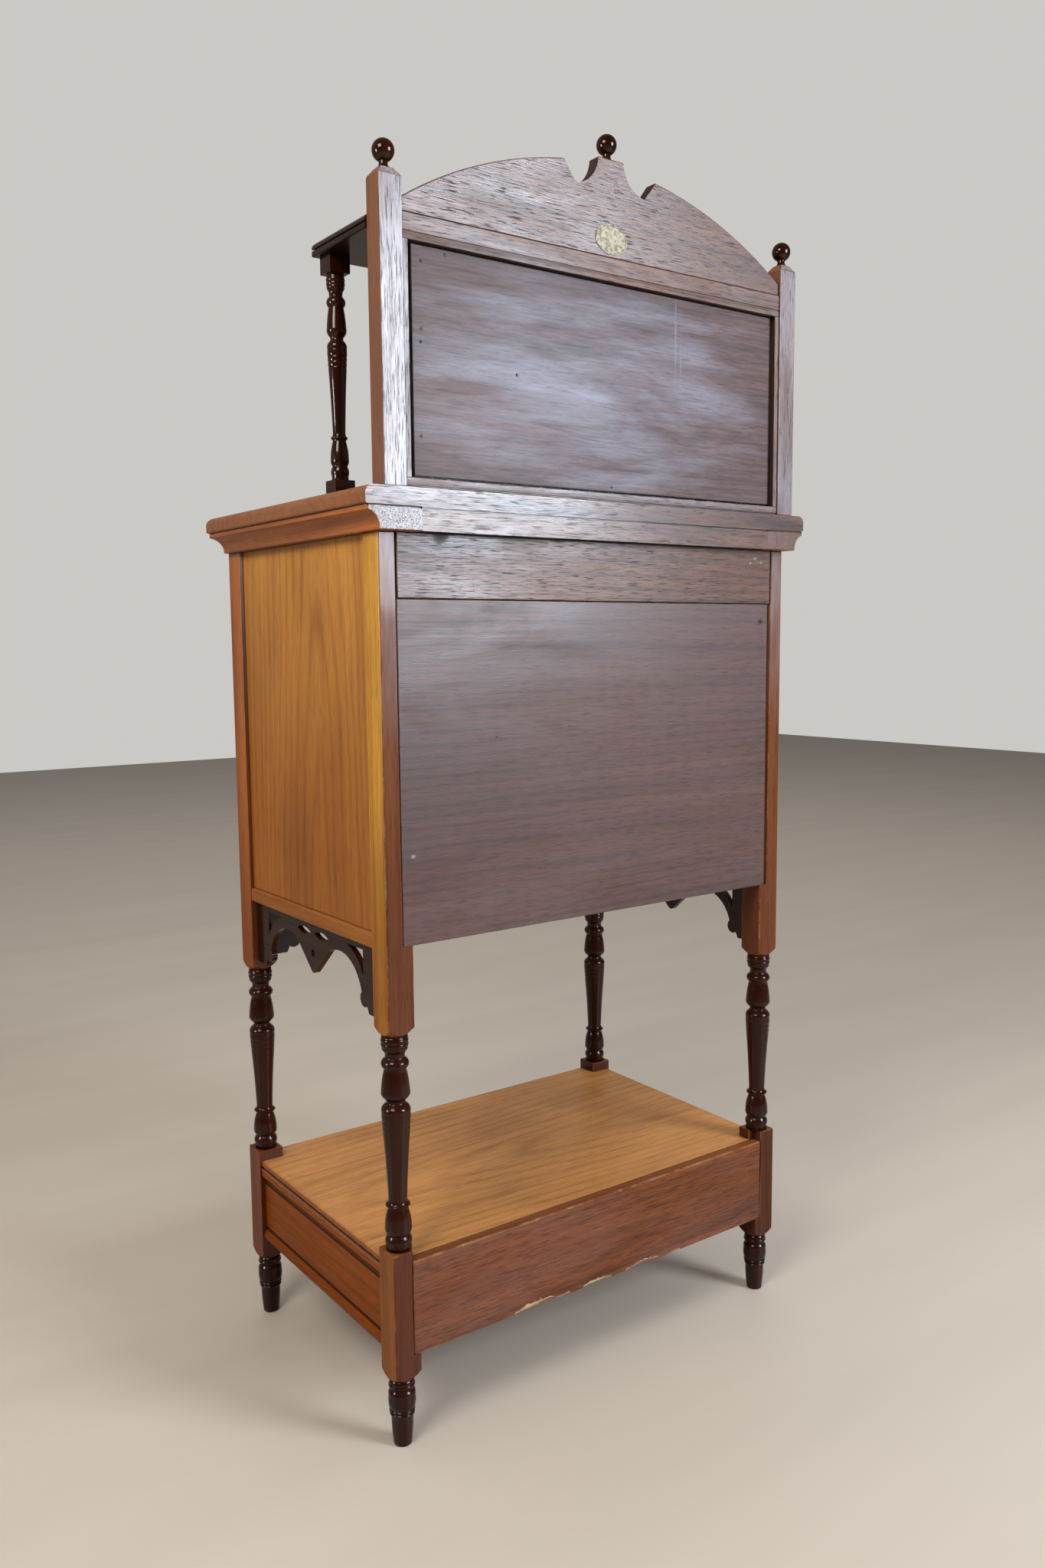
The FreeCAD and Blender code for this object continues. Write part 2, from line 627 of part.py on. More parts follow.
def finial(x, y, z):
    """Ball on a short waisted neck, standing at the given point."""
    neck_top = FINIAL_BALL_HEIGHT - math.sqrt(FINIAL_BALL ** 2 - FINIAL_NECK ** 2)
    edges = [
        Part.makeLine(Vector(0, 0, 0), Vector(FINIAL_FOOT, 0, 0)),
        arc(Vector(FINIAL_FOOT, 0, 0), Vector(FINIAL_NECK, 0, neck_top * 0.6),
            Vector(FINIAL_NECK, 0, neck_top)),
        arc(Vector(FINIAL_NECK, 0, neck_top), Vector(FINIAL_BALL, 0, FINIAL_BALL_HEIGHT),
            Vector(0, 0, FINIAL_BALL_HEIGHT + FINIAL_BALL)),
        Part.makeLine(Vector(0, 0, FINIAL_BALL_HEIGHT + FINIAL_BALL), Vector(0, 0, 0)),
    ]
    ball = Part.Face(Part.Wire(edges)).revolve(Vector(0, 0, 0), Vector(0, 0, 1), 360)
    return ball.translated(Vector(x, y, z))


def gallery_shelf():
    """Small shelf with a nosed edge over a bead, and a tongue that meets the gallery's top rail."""
    half = GALLERY_SHELF_X
    front = GALLERY_SHELF_FRONT
    board = box(-half, half, front, GALLERY_FRONT, GALLERY_SHELF_BOTTOM, GALLERY_SHELF_TOP)

    def edge_at(level):
        return lambda c, e: abs(c.z - level) < 0.01 and (
            abs(abs(c.x) - half) < 0.01 or abs(c.y - front) < 0.01)

    board = rounded(board, SHELF_LIP, edge_at(GALLERY_SHELF_TOP))
    board = rounded(board, SHELF_BEAD_ROUND, edge_at(GALLERY_SHELF_BOTTOM))
    low = GALLERY_SHELF_BOTTOM + SHELF_BEAD
    high = low + SHELF_QUIRK
    deep = SHELF_QUIRK_DEPTH
    ring = box(-half - deep, half + deep, front - deep, GALLERY_FRONT, low, high)
    ring = ring.cut(box(-half + deep, half - deep, front + deep, GALLERY_FRONT, low, high))
    tongue = box(-GALLERY_INNER_X, GALLERY_INNER_X, GALLERY_FRONT, FRAME_FRONT,
                 GALLERY_SHELF_BOTTOM, GALLERY_SHELF_TOP)
    return one_solid(board.cut(ring).fuse(tongue))


def gallery_spindle():
    """Turned spindle with a square block at each end, cut like the legs."""
    half = SPINDLE_BLOCK / 2
    axis = Vector(GALLERY_SHELF_X - SHELF_LIP - half, GALLERY_SHELF_FRONT + SHELF_LIP + half, 0)
    stretch = (SPINDLE_UPPER - SPINDLE_LOWER) / total_length(LEG_CUTS)
    shaft = turned(LEG_RADIUS, LEG_CUTS, stretch, SPINDLE_SCALE)
    shaft.translate(Vector(0, 0, SPINDLE_UPPER))
    lower = box(-half, half, -half, half, CORNICE_TOP, SPINDLE_LOWER)
    upper = box(-half, half, -half, half, SPINDLE_UPPER, GALLERY_SHELF_BOTTOM)
    return one_solid(shaft.fuse([lower, upper])).translated(axis)


def mirror_bead():
    """Four mitred strips that hold the glass at the front of the gallery's frame."""
    y0 = BEAD_FRONT
    y1 = y0 + BEAD_DEPTH
    x, z0, z1 = OPENING_X, OPENING_BOTTOM, OPENING_TOP
    middle_z = (z0 + z1) / 2
    outer = [(-x, z0), (x, z0), (x, z1), (-x, z1)]
    inner = [(-x + BEAD, z0 + BEAD), (x - BEAD, z0 + BEAD), (x - BEAD, z1 - BEAD), (-x + BEAD, z1 - BEAD)]
    strips = []
    for i in range(4):
        j = (i + 1) % 4
        corners = [outer[i], outer[j], inner[j], inner[i]]
        strip = polygon_face([Vector(u, y0, w) for u, w in corners]).extrude(Vector(0, y1 - y0, 0))

        def sight_edge(c, e):
            upright = abs(abs(c.x) - (x - BEAD)) < 0.01
            level = abs(abs(c.z - middle_z) - (z1 - z0) / 2 + BEAD) < 0.01
            return abs(c.y - y0) < 0.01 and (upright or level) and e.Length > BEAD * 2

        strips.append(rounded(strip, BEAD_ROUND, sight_edge))
    return strips


def mirror_glass():
    y0 = BEAD_FRONT + BEAD_DEPTH
    return box(-OPENING_X + 1, OPENING_X - 1, y0, y0 + GLASS, OPENING_BOTTOM + 1, OPENING_TOP - 1)


def gallery_back_board():
    y0 = BEAD_FRONT + BEAD_DEPTH + GLASS
    return box(-OPENING_X + BOARD_GAP, OPENING_X - BOARD_GAP_RIGHT, y0, y0 + GALLERY_BOARD,
               OPENING_BOTTOM + BOARD_GAP_BOTTOM, OPENING_TOP - BOARD_GAP)


def oval_plate(width, height, thickness, x, y, z):
    """Flat oval plate that stands in the XZ plane; y is its -Y face."""
    ellipse = Part.Ellipse(Vector(0, 0, 0), max(width, height) / 2, min(width, height) / 2)
    face = Part.Face(Part.Wire(ellipse.toShape()))
    if height > width:
        face.rotate(Vector(0, 0, 0), Vector(0, 0, 1), 90)
    plate = face.extrude(Vector(0, 0, thickness))
    plate.rotate(Vector(0, 0, 0), Vector(1, 0, 0), -90)
    return plate.translated(Vector(x, y, z))


def knob(x, z):
    """Drawer knob turned about the Y axis, standing out from the drawer front."""
    shape = turned(KNOB_CUTS[0][1], KNOB_CUTS)
    shape.rotate(Vector(0, 0, 0), Vector(1, 0, 0), -90)
    return shape.translated(Vector(x, FRONT + RAIL_SET_BACK, z))


def drawer_front():
    half = INNER_X - DRAWER_GAP
    front = FRONT + RAIL_SET_BACK
    board = box(-half, half, front, front + DRAWER_FRONT,
                BASE_RAIL_TOP + DRAWER_GAP, SHELF_BOTTOM - DRAWER_GAP)
    return rounded(board, DRAWER_ROUND, lambda c, e: abs(c.y - front) < 0.01)


DRAWER_SIDE_OUTER = INNER_X - 4.0
DRAWER_START_Y = FRONT + RAIL_SET_BACK + DRAWER_FRONT


def drawer_bottom():
    half = DRAWER_SIDE_OUTER - DRAWER_SIDE / 2
    return box(-half, half, DRAWER_START_Y, DRAWER_BACK_Y, DRAWER_BOTTOM_Z, DRAWER_BOTTOM_Z + DRAWER_BOTTOM)


def drawer_side():
    side = box(DRAWER_SIDE_OUTER - DRAWER_SIDE, DRAWER_SIDE_OUTER, DRAWER_START_Y, DRAWER_BACK_Y,
               DRAWER_SIDE_BOTTOM, DRAWER_SIDE_TOP)
    return one_solid(side.cut(drawer_bottom()))


def drawer_back():
    inner = DRAWER_SIDE_OUTER - DRAWER_SIDE
    return box(-inner, inner, DRAWER_BACK_Y - DRAWER_SIDE, DRAWER_BACK_Y,
               DRAWER_BOTTOM_Z + DRAWER_BOTTOM, DRAWER_SIDE_TOP)


def drawer_runner():
    front = FRONT + RAIL_SET_BACK + FRONT_RAIL
    runner = box(DRAWER_SIDE_OUTER - 18, APRON_INNER, front, BACK - BACK_APRON, BASE_BOTTOM + 2, RUNNER_TOP)
    return one_solid(runner.cut(post_squares()))


def knuckle(z0, z1, bore):
    origin = Vector(HINGE_X, HINGE_Y, z0)
    return Part.makeCylinder(KNUCKLE, z1 - z0, origin).cut(Part.makeCylinder(bore, z1 - z0, origin))


def hinge_leaf(z0, x0, x1, knuckles, bore):
    """Leaf with its knuckles; each knuckle is a (low, high) pair measured up from the hinge's bottom."""
    plate = box(x0, x1, HINGE_Y + KNUCKLE + KNUCKLE_CLEARANCE, LEAF_END, z0, z0 + HINGE_LENGTH)
    for low, high in knuckles:
        tab = box(x0, x1, HINGE_Y, HINGE_Y + KNUCKLE + KNUCKLE_CLEARANCE, z0 + low, z0 + high)
        bore_space = Part.makeCylinder(bore, high - low, Vector(HINGE_X, HINGE_Y, z0 + low))
        plate = plate.fuse(tab.cut(bore_space)).fuse(knuckle(z0 + low, z0 + high, bore))
    return one_solid(plate)


THIRD = HINGE_LENGTH / 3


def post_leaf(z0):
    return hinge_leaf(z0, INNER_X, INNER_X + LEAF, [(0, THIRD), (2 * THIRD, HINGE_LENGTH)], PIN)


def door_leaf(z0):
    knuckles = [(THIRD + KNUCKLE_GAP, 2 * THIRD - KNUCKLE_GAP)]
    return hinge_leaf(z0, DOOR_OUTER_X - LEAF, DOOR_OUTER_X, knuckles, PIN + PIN_CLEARANCE)


def hinge_pin(z0):
    shank = Part.makeCylinder(PIN, HINGE_LENGTH, Vector(HINGE_X, HINGE_Y, z0))
    head = Part.makeSphere(PIN_HEAD, Vector(HINGE_X, HINGE_Y, z0 + HINGE_LENGTH), Vector(0, 0, 1), 0, 90, 360)
    return one_solid(shank.fuse(head))


def door_stile(x0, x1, sight_x):
    """Upright of the right door; the front arris on its sight edge is bevelled."""
    stile = box(x0, x1, DOOR_FRONT, DOOR_BACK, DOOR_BOTTOM, DOOR_TOP)
    edges = [e for e in stile.Edges if abs(e.CenterOfMass.x - sight_x) < 0.01
             and abs(e.CenterOfMass.y - DOOR_FRONT) < 0.01]
    return stile.makeChamfer(DOOR_BEVEL, edges)


def door_rail(z0, z1, sight_z):
    rail = box(DOOR_MEETING_GAP + DOOR_STILE, DOOR_OUTER_X - DOOR_STILE, DOOR_FRONT, DOOR_BACK, z0, z1)
    edges = [e for e in rail.Edges if abs(e.CenterOfMass.z - sight_z) < 0.01
             and abs(e.CenterOfMass.y - DOOR_FRONT) < 0.01]
    return rail.makeChamfer(DOOR_BEVEL, edges)


PANEL_X0 = DOOR_MEETING_GAP + DOOR_STILE
PANEL_X1 = DOOR_OUTER_X - DOOR_STILE
PANEL_Z0 = DOOR_BOTTOM + DOOR_RAIL
PANEL_Z1 = DOOR_TOP - DOOR_RAIL
PANEL_FRONT = DOOR_FRONT + 8.0


def door_panel():
    """Fielded panel: a board with a raised field, bevelled all round, let into the frame by its tongue."""
    tongue = DOOR_PANEL_TONGUE
    board = box(PANEL_X0 - tongue, PANEL_X1 + tongue, PANEL_FRONT, PANEL_FRONT + DOOR_PANEL,
                PANEL_Z0 - tongue, PANEL_Z1 + tongue)
    x, z = (PANEL_X0 + PANEL_X1) / 2, (PANEL_Z0 + PANEL_Z1) / 2
    wires = []
    for margin, y in ((FIELD_MARGIN / 3, PANEL_FRONT), (FIELD_MARGIN, PANEL_FRONT - FIELD_RISE)):
        half_x = (PANEL_X1 - PANEL_X0) / 2 - margin
        half_z = (PANEL_Z1 - PANEL_Z0) / 2 - margin
        corners = [(-1, -1), (1, -1), (1, 1), (-1, 1), (-1, -1)]
        wires.append(Part.makePolygon([Vector(x + half_x * a, y, z + half_z * b) for a, b in corners]))
    return one_solid(board.fuse(Part.makeLoft(wires, True, True)))


def keyhole(y0, y1):
    hole = Part.makeCylinder(KEYHOLE, y1 - y0, Vector(KEY_X, y0, KEY_Z), Vector(0, 1, 0))
    return hole.fuse(box(KEY_X - 1.3, KEY_X + 1.3, y0, y1, KEY_Z - KEYHOLE_SLOT, KEY_Z))


def right_door_pieces():
    """Stiles, rails and panel of the right door, with the panel grooves, hinge recesses and keyhole cut."""
    panel = door_panel()
    leaves = [door_leaf(z0) for z0 in HINGE_Z]
    hinge_stile = door_stile(PANEL_X1, DOOR_OUTER_X, PANEL_X1).cut([panel] + leaves)
    meeting_stile = door_stile(DOOR_MEETING_GAP, PANEL_X0, PANEL_X0).cut(panel)
    low_rail = door_rail(DOOR_BOTTOM, PANEL_Z0, PANEL_Z0).cut(panel)
    high_rail = door_rail(PANEL_Z1, DOOR_TOP, PANEL_Z1).cut(panel)
    rails = [one_solid(low_rail), one_solid(high_rail)]
    return one_solid(hinge_stile), one_solid(meeting_stile), rails, panel, leaves


def lock_bolt():
    """Sliding bar with a talon, the notch that the key's bit pushes."""
    bar = box(BOLT_LEFT, BOLT_RIGHT, BOLT_START_Y, BOLT_START_Y + BOLT_DEPTH,
              KEY_Z + BOLT_LOW, KEY_Z + BOLT_HIGH)
    talon_x = KEY_X + BIT_RADIUS * math.sin(math.radians(BIT_ANGLE))
    notch = box(talon_x - TALON_HALF, talon_x + TALON_HALF, BOLT_START_Y, BOLT_START_Y + BOLT_DEPTH,
                KEY_Z + BOLT_LOW, KEY_Z + TALON_TOP)
    return bar.cut(notch)


def lock_case():
    """Tray screwed to the back of the door, open towards it, with a mouth for the bolt."""
    back = DOOR_BACK + CASE_DEPTH
    low, high = KEY_Z - CASE_LOW, KEY_Z + CASE_HIGH
    tray = box(CASE_LEFT, CASE_RIGHT, DOOR_BACK, back, low, high)
    tray = tray.cut(box(CASE_LEFT + CASE_WALL, CASE_RIGHT - CASE_WALL, DOOR_BACK, back - CASE_WALL,
                        low + CASE_WALL, high - CASE_WALL))
    mouth = box(CASE_LEFT, CASE_LEFT + CASE_WALL,
                BOLT_START_Y - SLIDE_GAP, BOLT_START_Y + BOLT_DEPTH + SLIDE_GAP,
                KEY_Z + BOLT_LOW - SLIDE_GAP, KEY_Z + BOLT_HIGH + SLIDE_GAP)
    return one_solid(tray.cut(mouth))


def door_key():
    """Key in its lock: flat oval bow in front, round shank, bit that leans towards the bolt's talon."""
    bow = oval_plate(KEY_BOW_LENGTH, KEY_BOW_WIDTH, KEY_BOW, 0, -KEY_BOW / 2, 0)
    bow.rotate(Vector(0, 0, 0), Vector(0, 0, 1), 90)
    bow.translate(Vector(KEY_X, KEY_TIP + KEY_BOW_LENGTH / 2, KEY_Z))
    shank_start = KEY_TIP + KEY_BOW_LENGTH - 2.0
    shank_end = DOOR_BACK + CASE_DEPTH - CASE_WALL - 0.5
    shank = Part.makeCylinder(KEY_SHANK, shank_end - shank_start, Vector(KEY_X, shank_start, KEY_Z),
                              Vector(0, 1, 0))
    collar = Part.makeCylinder(KEY_SHANK + 0.9, 2.0, Vector(KEY_X, shank_start + 3.0, KEY_Z),
                               Vector(0, 1, 0))
    bit = box(KEY_X - BIT / 2, KEY_X + BIT / 2, BOLT_START_Y + 1, BOLT_START_Y + BOLT_DEPTH - 1,
              KEY_Z, KEY_Z + BIT_RADIUS)
    bit.rotate(Vector(KEY_X, 0, KEY_Z), Vector(0, 1, 0), BIT_ANGLE)
    return one_solid(shank.fuse([bow, collar, bit]))


def escutcheon():
    y0 = DOOR_FRONT - ESCUTCHEON
    plate = oval_plate(ESCUTCHEON_WIDTH, ESCUTCHEON_HEIGHT, ESCUTCHEON, KEY_X, y0, KEY_Z - 2.0)
    return one_solid(plate.cut(keyhole(y0, DOOR_FRONT)))


def bolt_plate():
    """Plate on the left door with two keepers that guide the rod."""
    half = ROD_PLATE_WIDTH / 2
    plate = box(ROD_X - half, ROD_X + half, DOOR_BACK, DOOR_BACK + ROD_PLATE, ROD_PLATE_LOW, ROD_PLATE_HIGH)
    for z in ROD_KEEPERS_Z:
        keeper = box(ROD_X - 5.5, ROD_X + 5.5, DOOR_BACK + ROD_PLATE, ROD_Y + 5.0, z, z + ROD_KEEPER)
        plate = plate.fuse(keeper)
    channel = Part.makeCylinder(ROD + ROD_CLEARANCE, ROD_PLATE_HIGH - ROD_PLATE_LOW,
                                Vector(ROD_X, ROD_Y, ROD_PLATE_LOW))
    return one_solid(plate.cut(channel))


def bolt_rod():
    rod = Part.makeCylinder(ROD, ROD_TOP - ROD_BOTTOM, Vector(ROD_X, ROD_Y, ROD_BOTTOM))
    knob_foot = Vector(ROD_X, ROD_Y, ROD_KNOB_Z)
    return one_solid(rod.fuse(Part.makeCylinder(ROD_KNOB, ROD_KNOB_LENGTH, knob_foot, Vector(0, 1, 0))))


def posts(fixed_leaves):
    """Right-hand posts, with mortises, panel grooves, rebates and hinge recesses cut to their mates."""
    axis_x = HALF_WIDTH - POST / 2
    shared = [side_panel(), side_bottom_rail(), base_side_apron()]
    rails = [front_rail(SIDE_RAIL_BOTTOM, BOTTOM_RAIL_TOP), front_rail(FRIEZE_BOTTOM, POST_TOP),
             front_rail(BASE_BOTTOM, BASE_RAIL_TOP)]
    front = corner_post().translated(Vector(axis_x, FRONT + POST / 2, 0))
    front = front.cut(shared + rails + fixed_leaves)
    rebate_x = HALF_WIDTH - BACK_STRIP
    rebates = [
        box(INNER_X, rebate_x, BACK - BACK_BOARD, BACK, BACK_PANEL_BOTTOM, POST_TOP),
        box(INNER_X, INNER_X + BACK_APRON_LAP, BACK - BACK_APRON, BACK, BASE_BOTTOM, BLOCK_TOP),
    ]
    rear = corner_post().translated(Vector(axis_x, BACK - POST / 2, 0))
    rear = rear.cut(shared + rebates)
    return one_solid(front), one_solid(rear)


def save_frame():
    fixed_leaves = [post_leaf(z0) for z0 in HINGE_Z]
    pins = [hinge_pin(z0) for z0 in HINGE_Z]
    front_post, rear_post = posts(fixed_leaves)
    sided = {
        "front_%s_post": front_post,
        "rear_%s_post": rear_post,
        "%s_side_panel": side_panel(),
        "%s_fretwork": side_fretwork(),
        "base_%s_apron": base_side_apron(),
        "gallery_%s_post": gallery_post(),
    }
    for name, shape in sided.items():
        save(name % "right", shape)
        save(name % "left", mirrored(shape))
    pairs = {
        "side_bottom_rails": side_bottom_rail(),
        "shelf_battens": shelf_batten(),
        "cornice_side_mouldings": cornice_side_moulding(),
        "drawer_runners": drawer_runner(),
        "gallery_stiles": gallery_stile(),
        "gallery_spindles": gallery_spindle(),
    }
    for name, shape in pairs.items():
        save(name, shape, mirrored(shape))
    save("right_hinge_post_leaves", *(fixed_leaves + pins))
    save("left_hinge_post_leaves", *[mirrored(piece) for piece in fixed_leaves + pins])
    save("back_panel", back_panel())
    save("back_top_rail", back_top_rail())
    save("cabinet_bottom", cabinet_bottom())
    save("inner_shelf", inner_shelf())
    save("front_frieze_rail", front_rail(FRIEZE_BOTTOM, POST_TOP))
    save("front_bottom_rail", front_rail(SIDE_RAIL_BOTTOM, BOTTOM_RAIL_TOP))
    save("front_fretwork", front_fretwork())
    save("top_board", top_board())
    save("cornice_front_moulding", cornice_front_moulding())
    save("cornice_back_rail", cornice_back_rail())
    save("lower_shelf", lower_shelf())
    save("base_back_apron", base_back_apron())
    save("base_front_rail", front_rail(BASE_BOTTOM, BASE_RAIL_TOP))


def save_gallery():
    middle_y = PEDIMENT_BACK - PEDIMENT / 2
    post_x, post_y = GALLERY_POST_AXIS
    save("gallery_top_rail", gallery_rail(OPENING_TOP, PEDIMENT_BOTTOM))
    save("gallery_bottom_rail", gallery_rail(CORNICE_TOP, OPENING_BOTTOM))
    save("gallery_back_board", gallery_back_board())
    save("pediment", pediment())
    save("mirror_glass", mirror_glass())
    save("mirror_bead", *mirror_bead())
    save("gallery_shelf", gallery_shelf())
    save("finials", finial(post_x, post_y, GALLERY_CAP_TOP), finial(-post_x, post_y, GALLERY_CAP_TOP),
         finial(0, middle_y, CUSP_Z))
    save("oval_plate", oval_plate(PLATE_WIDTH, PLATE_HEIGHT, PLATE, 0, PEDIMENT_BACK, PLATE_Z))


def save_doors():
    hinge_stile, meeting_stile, rails, panel, leaves = right_door_pieces()
    keyed_stile = one_solid(meeting_stile.cut(keyhole(DOOR_FRONT, DOOR_BACK)))
    save("right_door_stiles", hinge_stile, keyed_stile)
    save("left_door_stiles", mirrored(hinge_stile), mirrored(meeting_stile))
    sided = {"%s_door_rails": rails, "%s_door_panel": [panel], "%s_hinge_door_leaves": leaves}
    for name, pieces in sided.items():
        save(name % "right", *pieces)
        save(name % "left", *[mirrored(piece) for piece in pieces])
    save("lock_case", lock_case())
    save("lock_bolt", lock_bolt())
    save("door_key", door_key())
    save("escutcheon", escutcheon())
    save("left_bolt_plate", bolt_plate())
    save("left_bolt_rod", bolt_rod())


def save_drawer():
    side = drawer_side()
    save("drawer_front", drawer_front())
    save("drawer_sides_and_back", side, mirrored(side), drawer_back())
    save("drawer_bottom", drawer_bottom())
    save("drawer_knobs", knob(KNOB_X, KNOB_Z), knob(-KNOB_X, KNOB_Z))


os.makedirs("parts", exist_ok=True)
save_frame()
save_gallery()
save_doors()
save_drawer()
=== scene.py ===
import json
import math
import random

import bmesh
import bpy
from mathutils import Matrix, Quaternion, Vector


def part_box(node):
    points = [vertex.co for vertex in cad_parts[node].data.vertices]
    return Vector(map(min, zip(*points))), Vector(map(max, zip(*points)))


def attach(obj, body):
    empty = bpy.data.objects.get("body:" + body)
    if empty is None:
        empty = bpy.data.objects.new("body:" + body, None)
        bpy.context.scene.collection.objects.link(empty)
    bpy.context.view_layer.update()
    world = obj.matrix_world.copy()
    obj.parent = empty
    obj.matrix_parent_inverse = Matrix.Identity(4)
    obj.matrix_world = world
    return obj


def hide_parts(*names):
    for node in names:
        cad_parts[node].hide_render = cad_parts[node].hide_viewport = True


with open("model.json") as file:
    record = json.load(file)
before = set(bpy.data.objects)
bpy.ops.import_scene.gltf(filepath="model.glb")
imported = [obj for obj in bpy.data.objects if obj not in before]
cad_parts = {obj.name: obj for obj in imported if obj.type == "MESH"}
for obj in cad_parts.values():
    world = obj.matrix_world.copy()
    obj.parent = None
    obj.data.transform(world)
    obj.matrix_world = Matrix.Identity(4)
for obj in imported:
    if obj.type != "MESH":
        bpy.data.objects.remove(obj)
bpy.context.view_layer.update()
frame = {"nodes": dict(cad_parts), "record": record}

bl_info = {
    "name": "Side cabinet looks",
    "version": (1, 0, 0),
    "blender": (4, 5, 0),
    "location": "View3D > Sidebar > Cabinet",
    "description": "Worn varnish, turned work, mirror and brass for a late-Victorian side cabinet",
    "category": "Object",
}

NODE_BODY = {node: body for body, nodes in frame["record"]["behaviour"]["bodies"].items() for node in nodes}
MM = 0.001
ORIGIN = (0.0, 0.0, 0.0)
BACKWARD = Vector((0, 1, 0))

# How meshes are cleaned, rounded over and shaded
WELD = 1e-6
DEGENERATE = 0.002 * MM
FLAT_ANGLE = math.radians(0.4)
CREASE_ANGLE = math.radians(28.0)
SHARP_ANGLE = math.radians(32.0)
LONG_ARRIS = 10.0 * MM
LONG_POST_ARRIS = 20.0 * MM
FITTING_ARRIS = 0.2 * MM
SHORT_ARRIS = 2.0 * MM

# Turned work in millimetres, from the top down: length of each cut, radius at its end, and bulge;
# the beads of the feet are cut a little deeper than in the solids
TURNING_STEPS = 48
ARC_STEPS = 5
LEG_RADIUS = 14.5
LEG_CUTS = [
    (4, 14.5, 0), (5, 14.5, 0.9), (5, 14.3, 0.9), (4, 13.4, 0.6), (6, 11.0, -0.8), (3, 11.6, -0.4),
    (1, 13.2, 0), (10, 13.2, 2.4), (1, 12.3, 0), (25, 16.0, 0.6), (10, 11.2, 2.0), (4, 11.2, -0.6),
    (10, 15.9, 2.2), (8, 16.0, 0.2), (1.2, 15.2, 0), (1.2, 15.8, 0), (4, 15.6, 0), (1.2, 14.8, 0),
    (1.2, 15.4, 0), (4, 15.2, 0), (1.2, 14.4, 0), (1.2, 15.0, 0), (78, 10.4, -0.5), (3, 11.2, 0),
    (5, 11.2, 2.6), (3, 11.6, -0.3), (20, 15.0, 0.9), (8, 12.8, 1.0), (2, 13.0, -0.4), (11, 13.6, 1.7),
    (5, 14.2, 0),
]
FOOT_RADIUS = 14.0
FOOT_CUTS = [
    (6, 13.8, 0), (4.5, 13.8, 1.3), (2, 12.8, -0.2), (1, 13.4, 0), (6, 15.2, 0.9), (14, 14.8, 0.7),
    (1.2, 13.4, 0), (3.2, 13.5, 1.3), (1, 12.8, 0), (3.2, 13.1, 1.2), (1, 12.5, 0), (30, 10.6, 0.5),
    (3, 9.8, 0.3),
]
KNOB_RADIUS = 9.0
KNOB_CUTS = [(2, 9.0, 0), (4, 5.0, -1.2), (2.5, 7.0, -0.6), (5, 9.5, 2.2), (3, 0.6, 1.4)]

# Heights of the corner posts' and the spindles' lengths, as in the solids
FOOT_TOP = 0.080
BLOCK_TOP = 0.231
LEG_TOP = 0.476
LATHE_MARGIN = 0.02 * MM
SPINDLE_LOWER = 1.074
SPINDLE_UPPER = 1.290
SPINDLE_SCALE = 0.66

# Finials in millimetres: radius of the ball, height of its middle, radius of the neck and of its foot
BALL_RADIUS = 11.5
BALL_HEIGHT = 17.0
BALL_STEPS = 24
NECK_RADIUS = 4.6
NECK_FOOT = 6.8

# Lines sunk into the mouldings, and how squarely a face has to look out, and how near to the outline it
# has to lie, to take one
JOINT_LOWER = 2.5 * MM
JOINT_UPPER = 1.0 * MM
JOINT_DEPTH = 2.0 * MM
JOINT_MARGIN = 0.5 * MM
RAIL_LINE = 1.2 * MM
TOP_RAIL_RISE = 7.5 * MM
BOTTOM_RAIL_RISE = 1.0 * MM
SQUARELY = 0.9
BACK_SKIN = 0.5 * MM
SIDE_SKIN = 1.0 * MM
# Quirks of the base: distance from the upper or lower edge, and height
SHELF_QUIRK = (8.6 * MM, 3.0 * MM)
UPPER_QUIRK = (18.0 * MM, 7.5 * MM)
LOWER_QUIRK = (15.0 * MM, 4.6 * MM)
# The base's sides are flat between the reed at the top and the bead at the foot
REED_TALL = 8.4 * MM
REED_STANDS = 4.2 * MM
BEAD_TALL = 14.0 * MM
FLATTENED = 2.5 * MM

# Slivers split off the lower edge at the back in millimetres: place across, half length, height
SLIVERS = [(105, 34, 8.0), (62, 10, 2.0), (12, 24, 5.0), (-62, 30, 5.0), (-118, 12, 2.5)]
CHIP_STEPS = 160
CHIP_SEED = 5
CHIP_STRIP = 12.0 * MM
CHIP_REACH = 3.0 * MM
CHIP_START = 2.5 * MM
CHIP_FULL = 4.0 * MM
CHIP_LEAST = 0.5 * MM
CHIP_MARGIN = 0.1 * MM
CHIP_FACING = 0.3
CHIP_MARK = 0.9
CHIP_TAPER = 0.7
CHIP_VARIES = (0.6, 1.2)

# Nails across the gallery's back board in millimetres, from the middle of the cabinet and from the floor
BOARD_NAILS = [
    (247, 1283), (248, 1216), (249, 1203), (250, 1109), (218, 1293), (-258, 1285), (-259, 1203), (-260, 1097),
    (-5, 1074), (128, 1184),
]
NAIL_FLATTENING = 0.3
# Rim of the oval plate: its width, the width of its slope and how far the field lies below it
PLATE_SEGMENTS = 64
PLATE_RIM = 1.2 * MM
PLATE_SLOPE = 0.5 * MM
PLATE_SUNK = 0.35 * MM

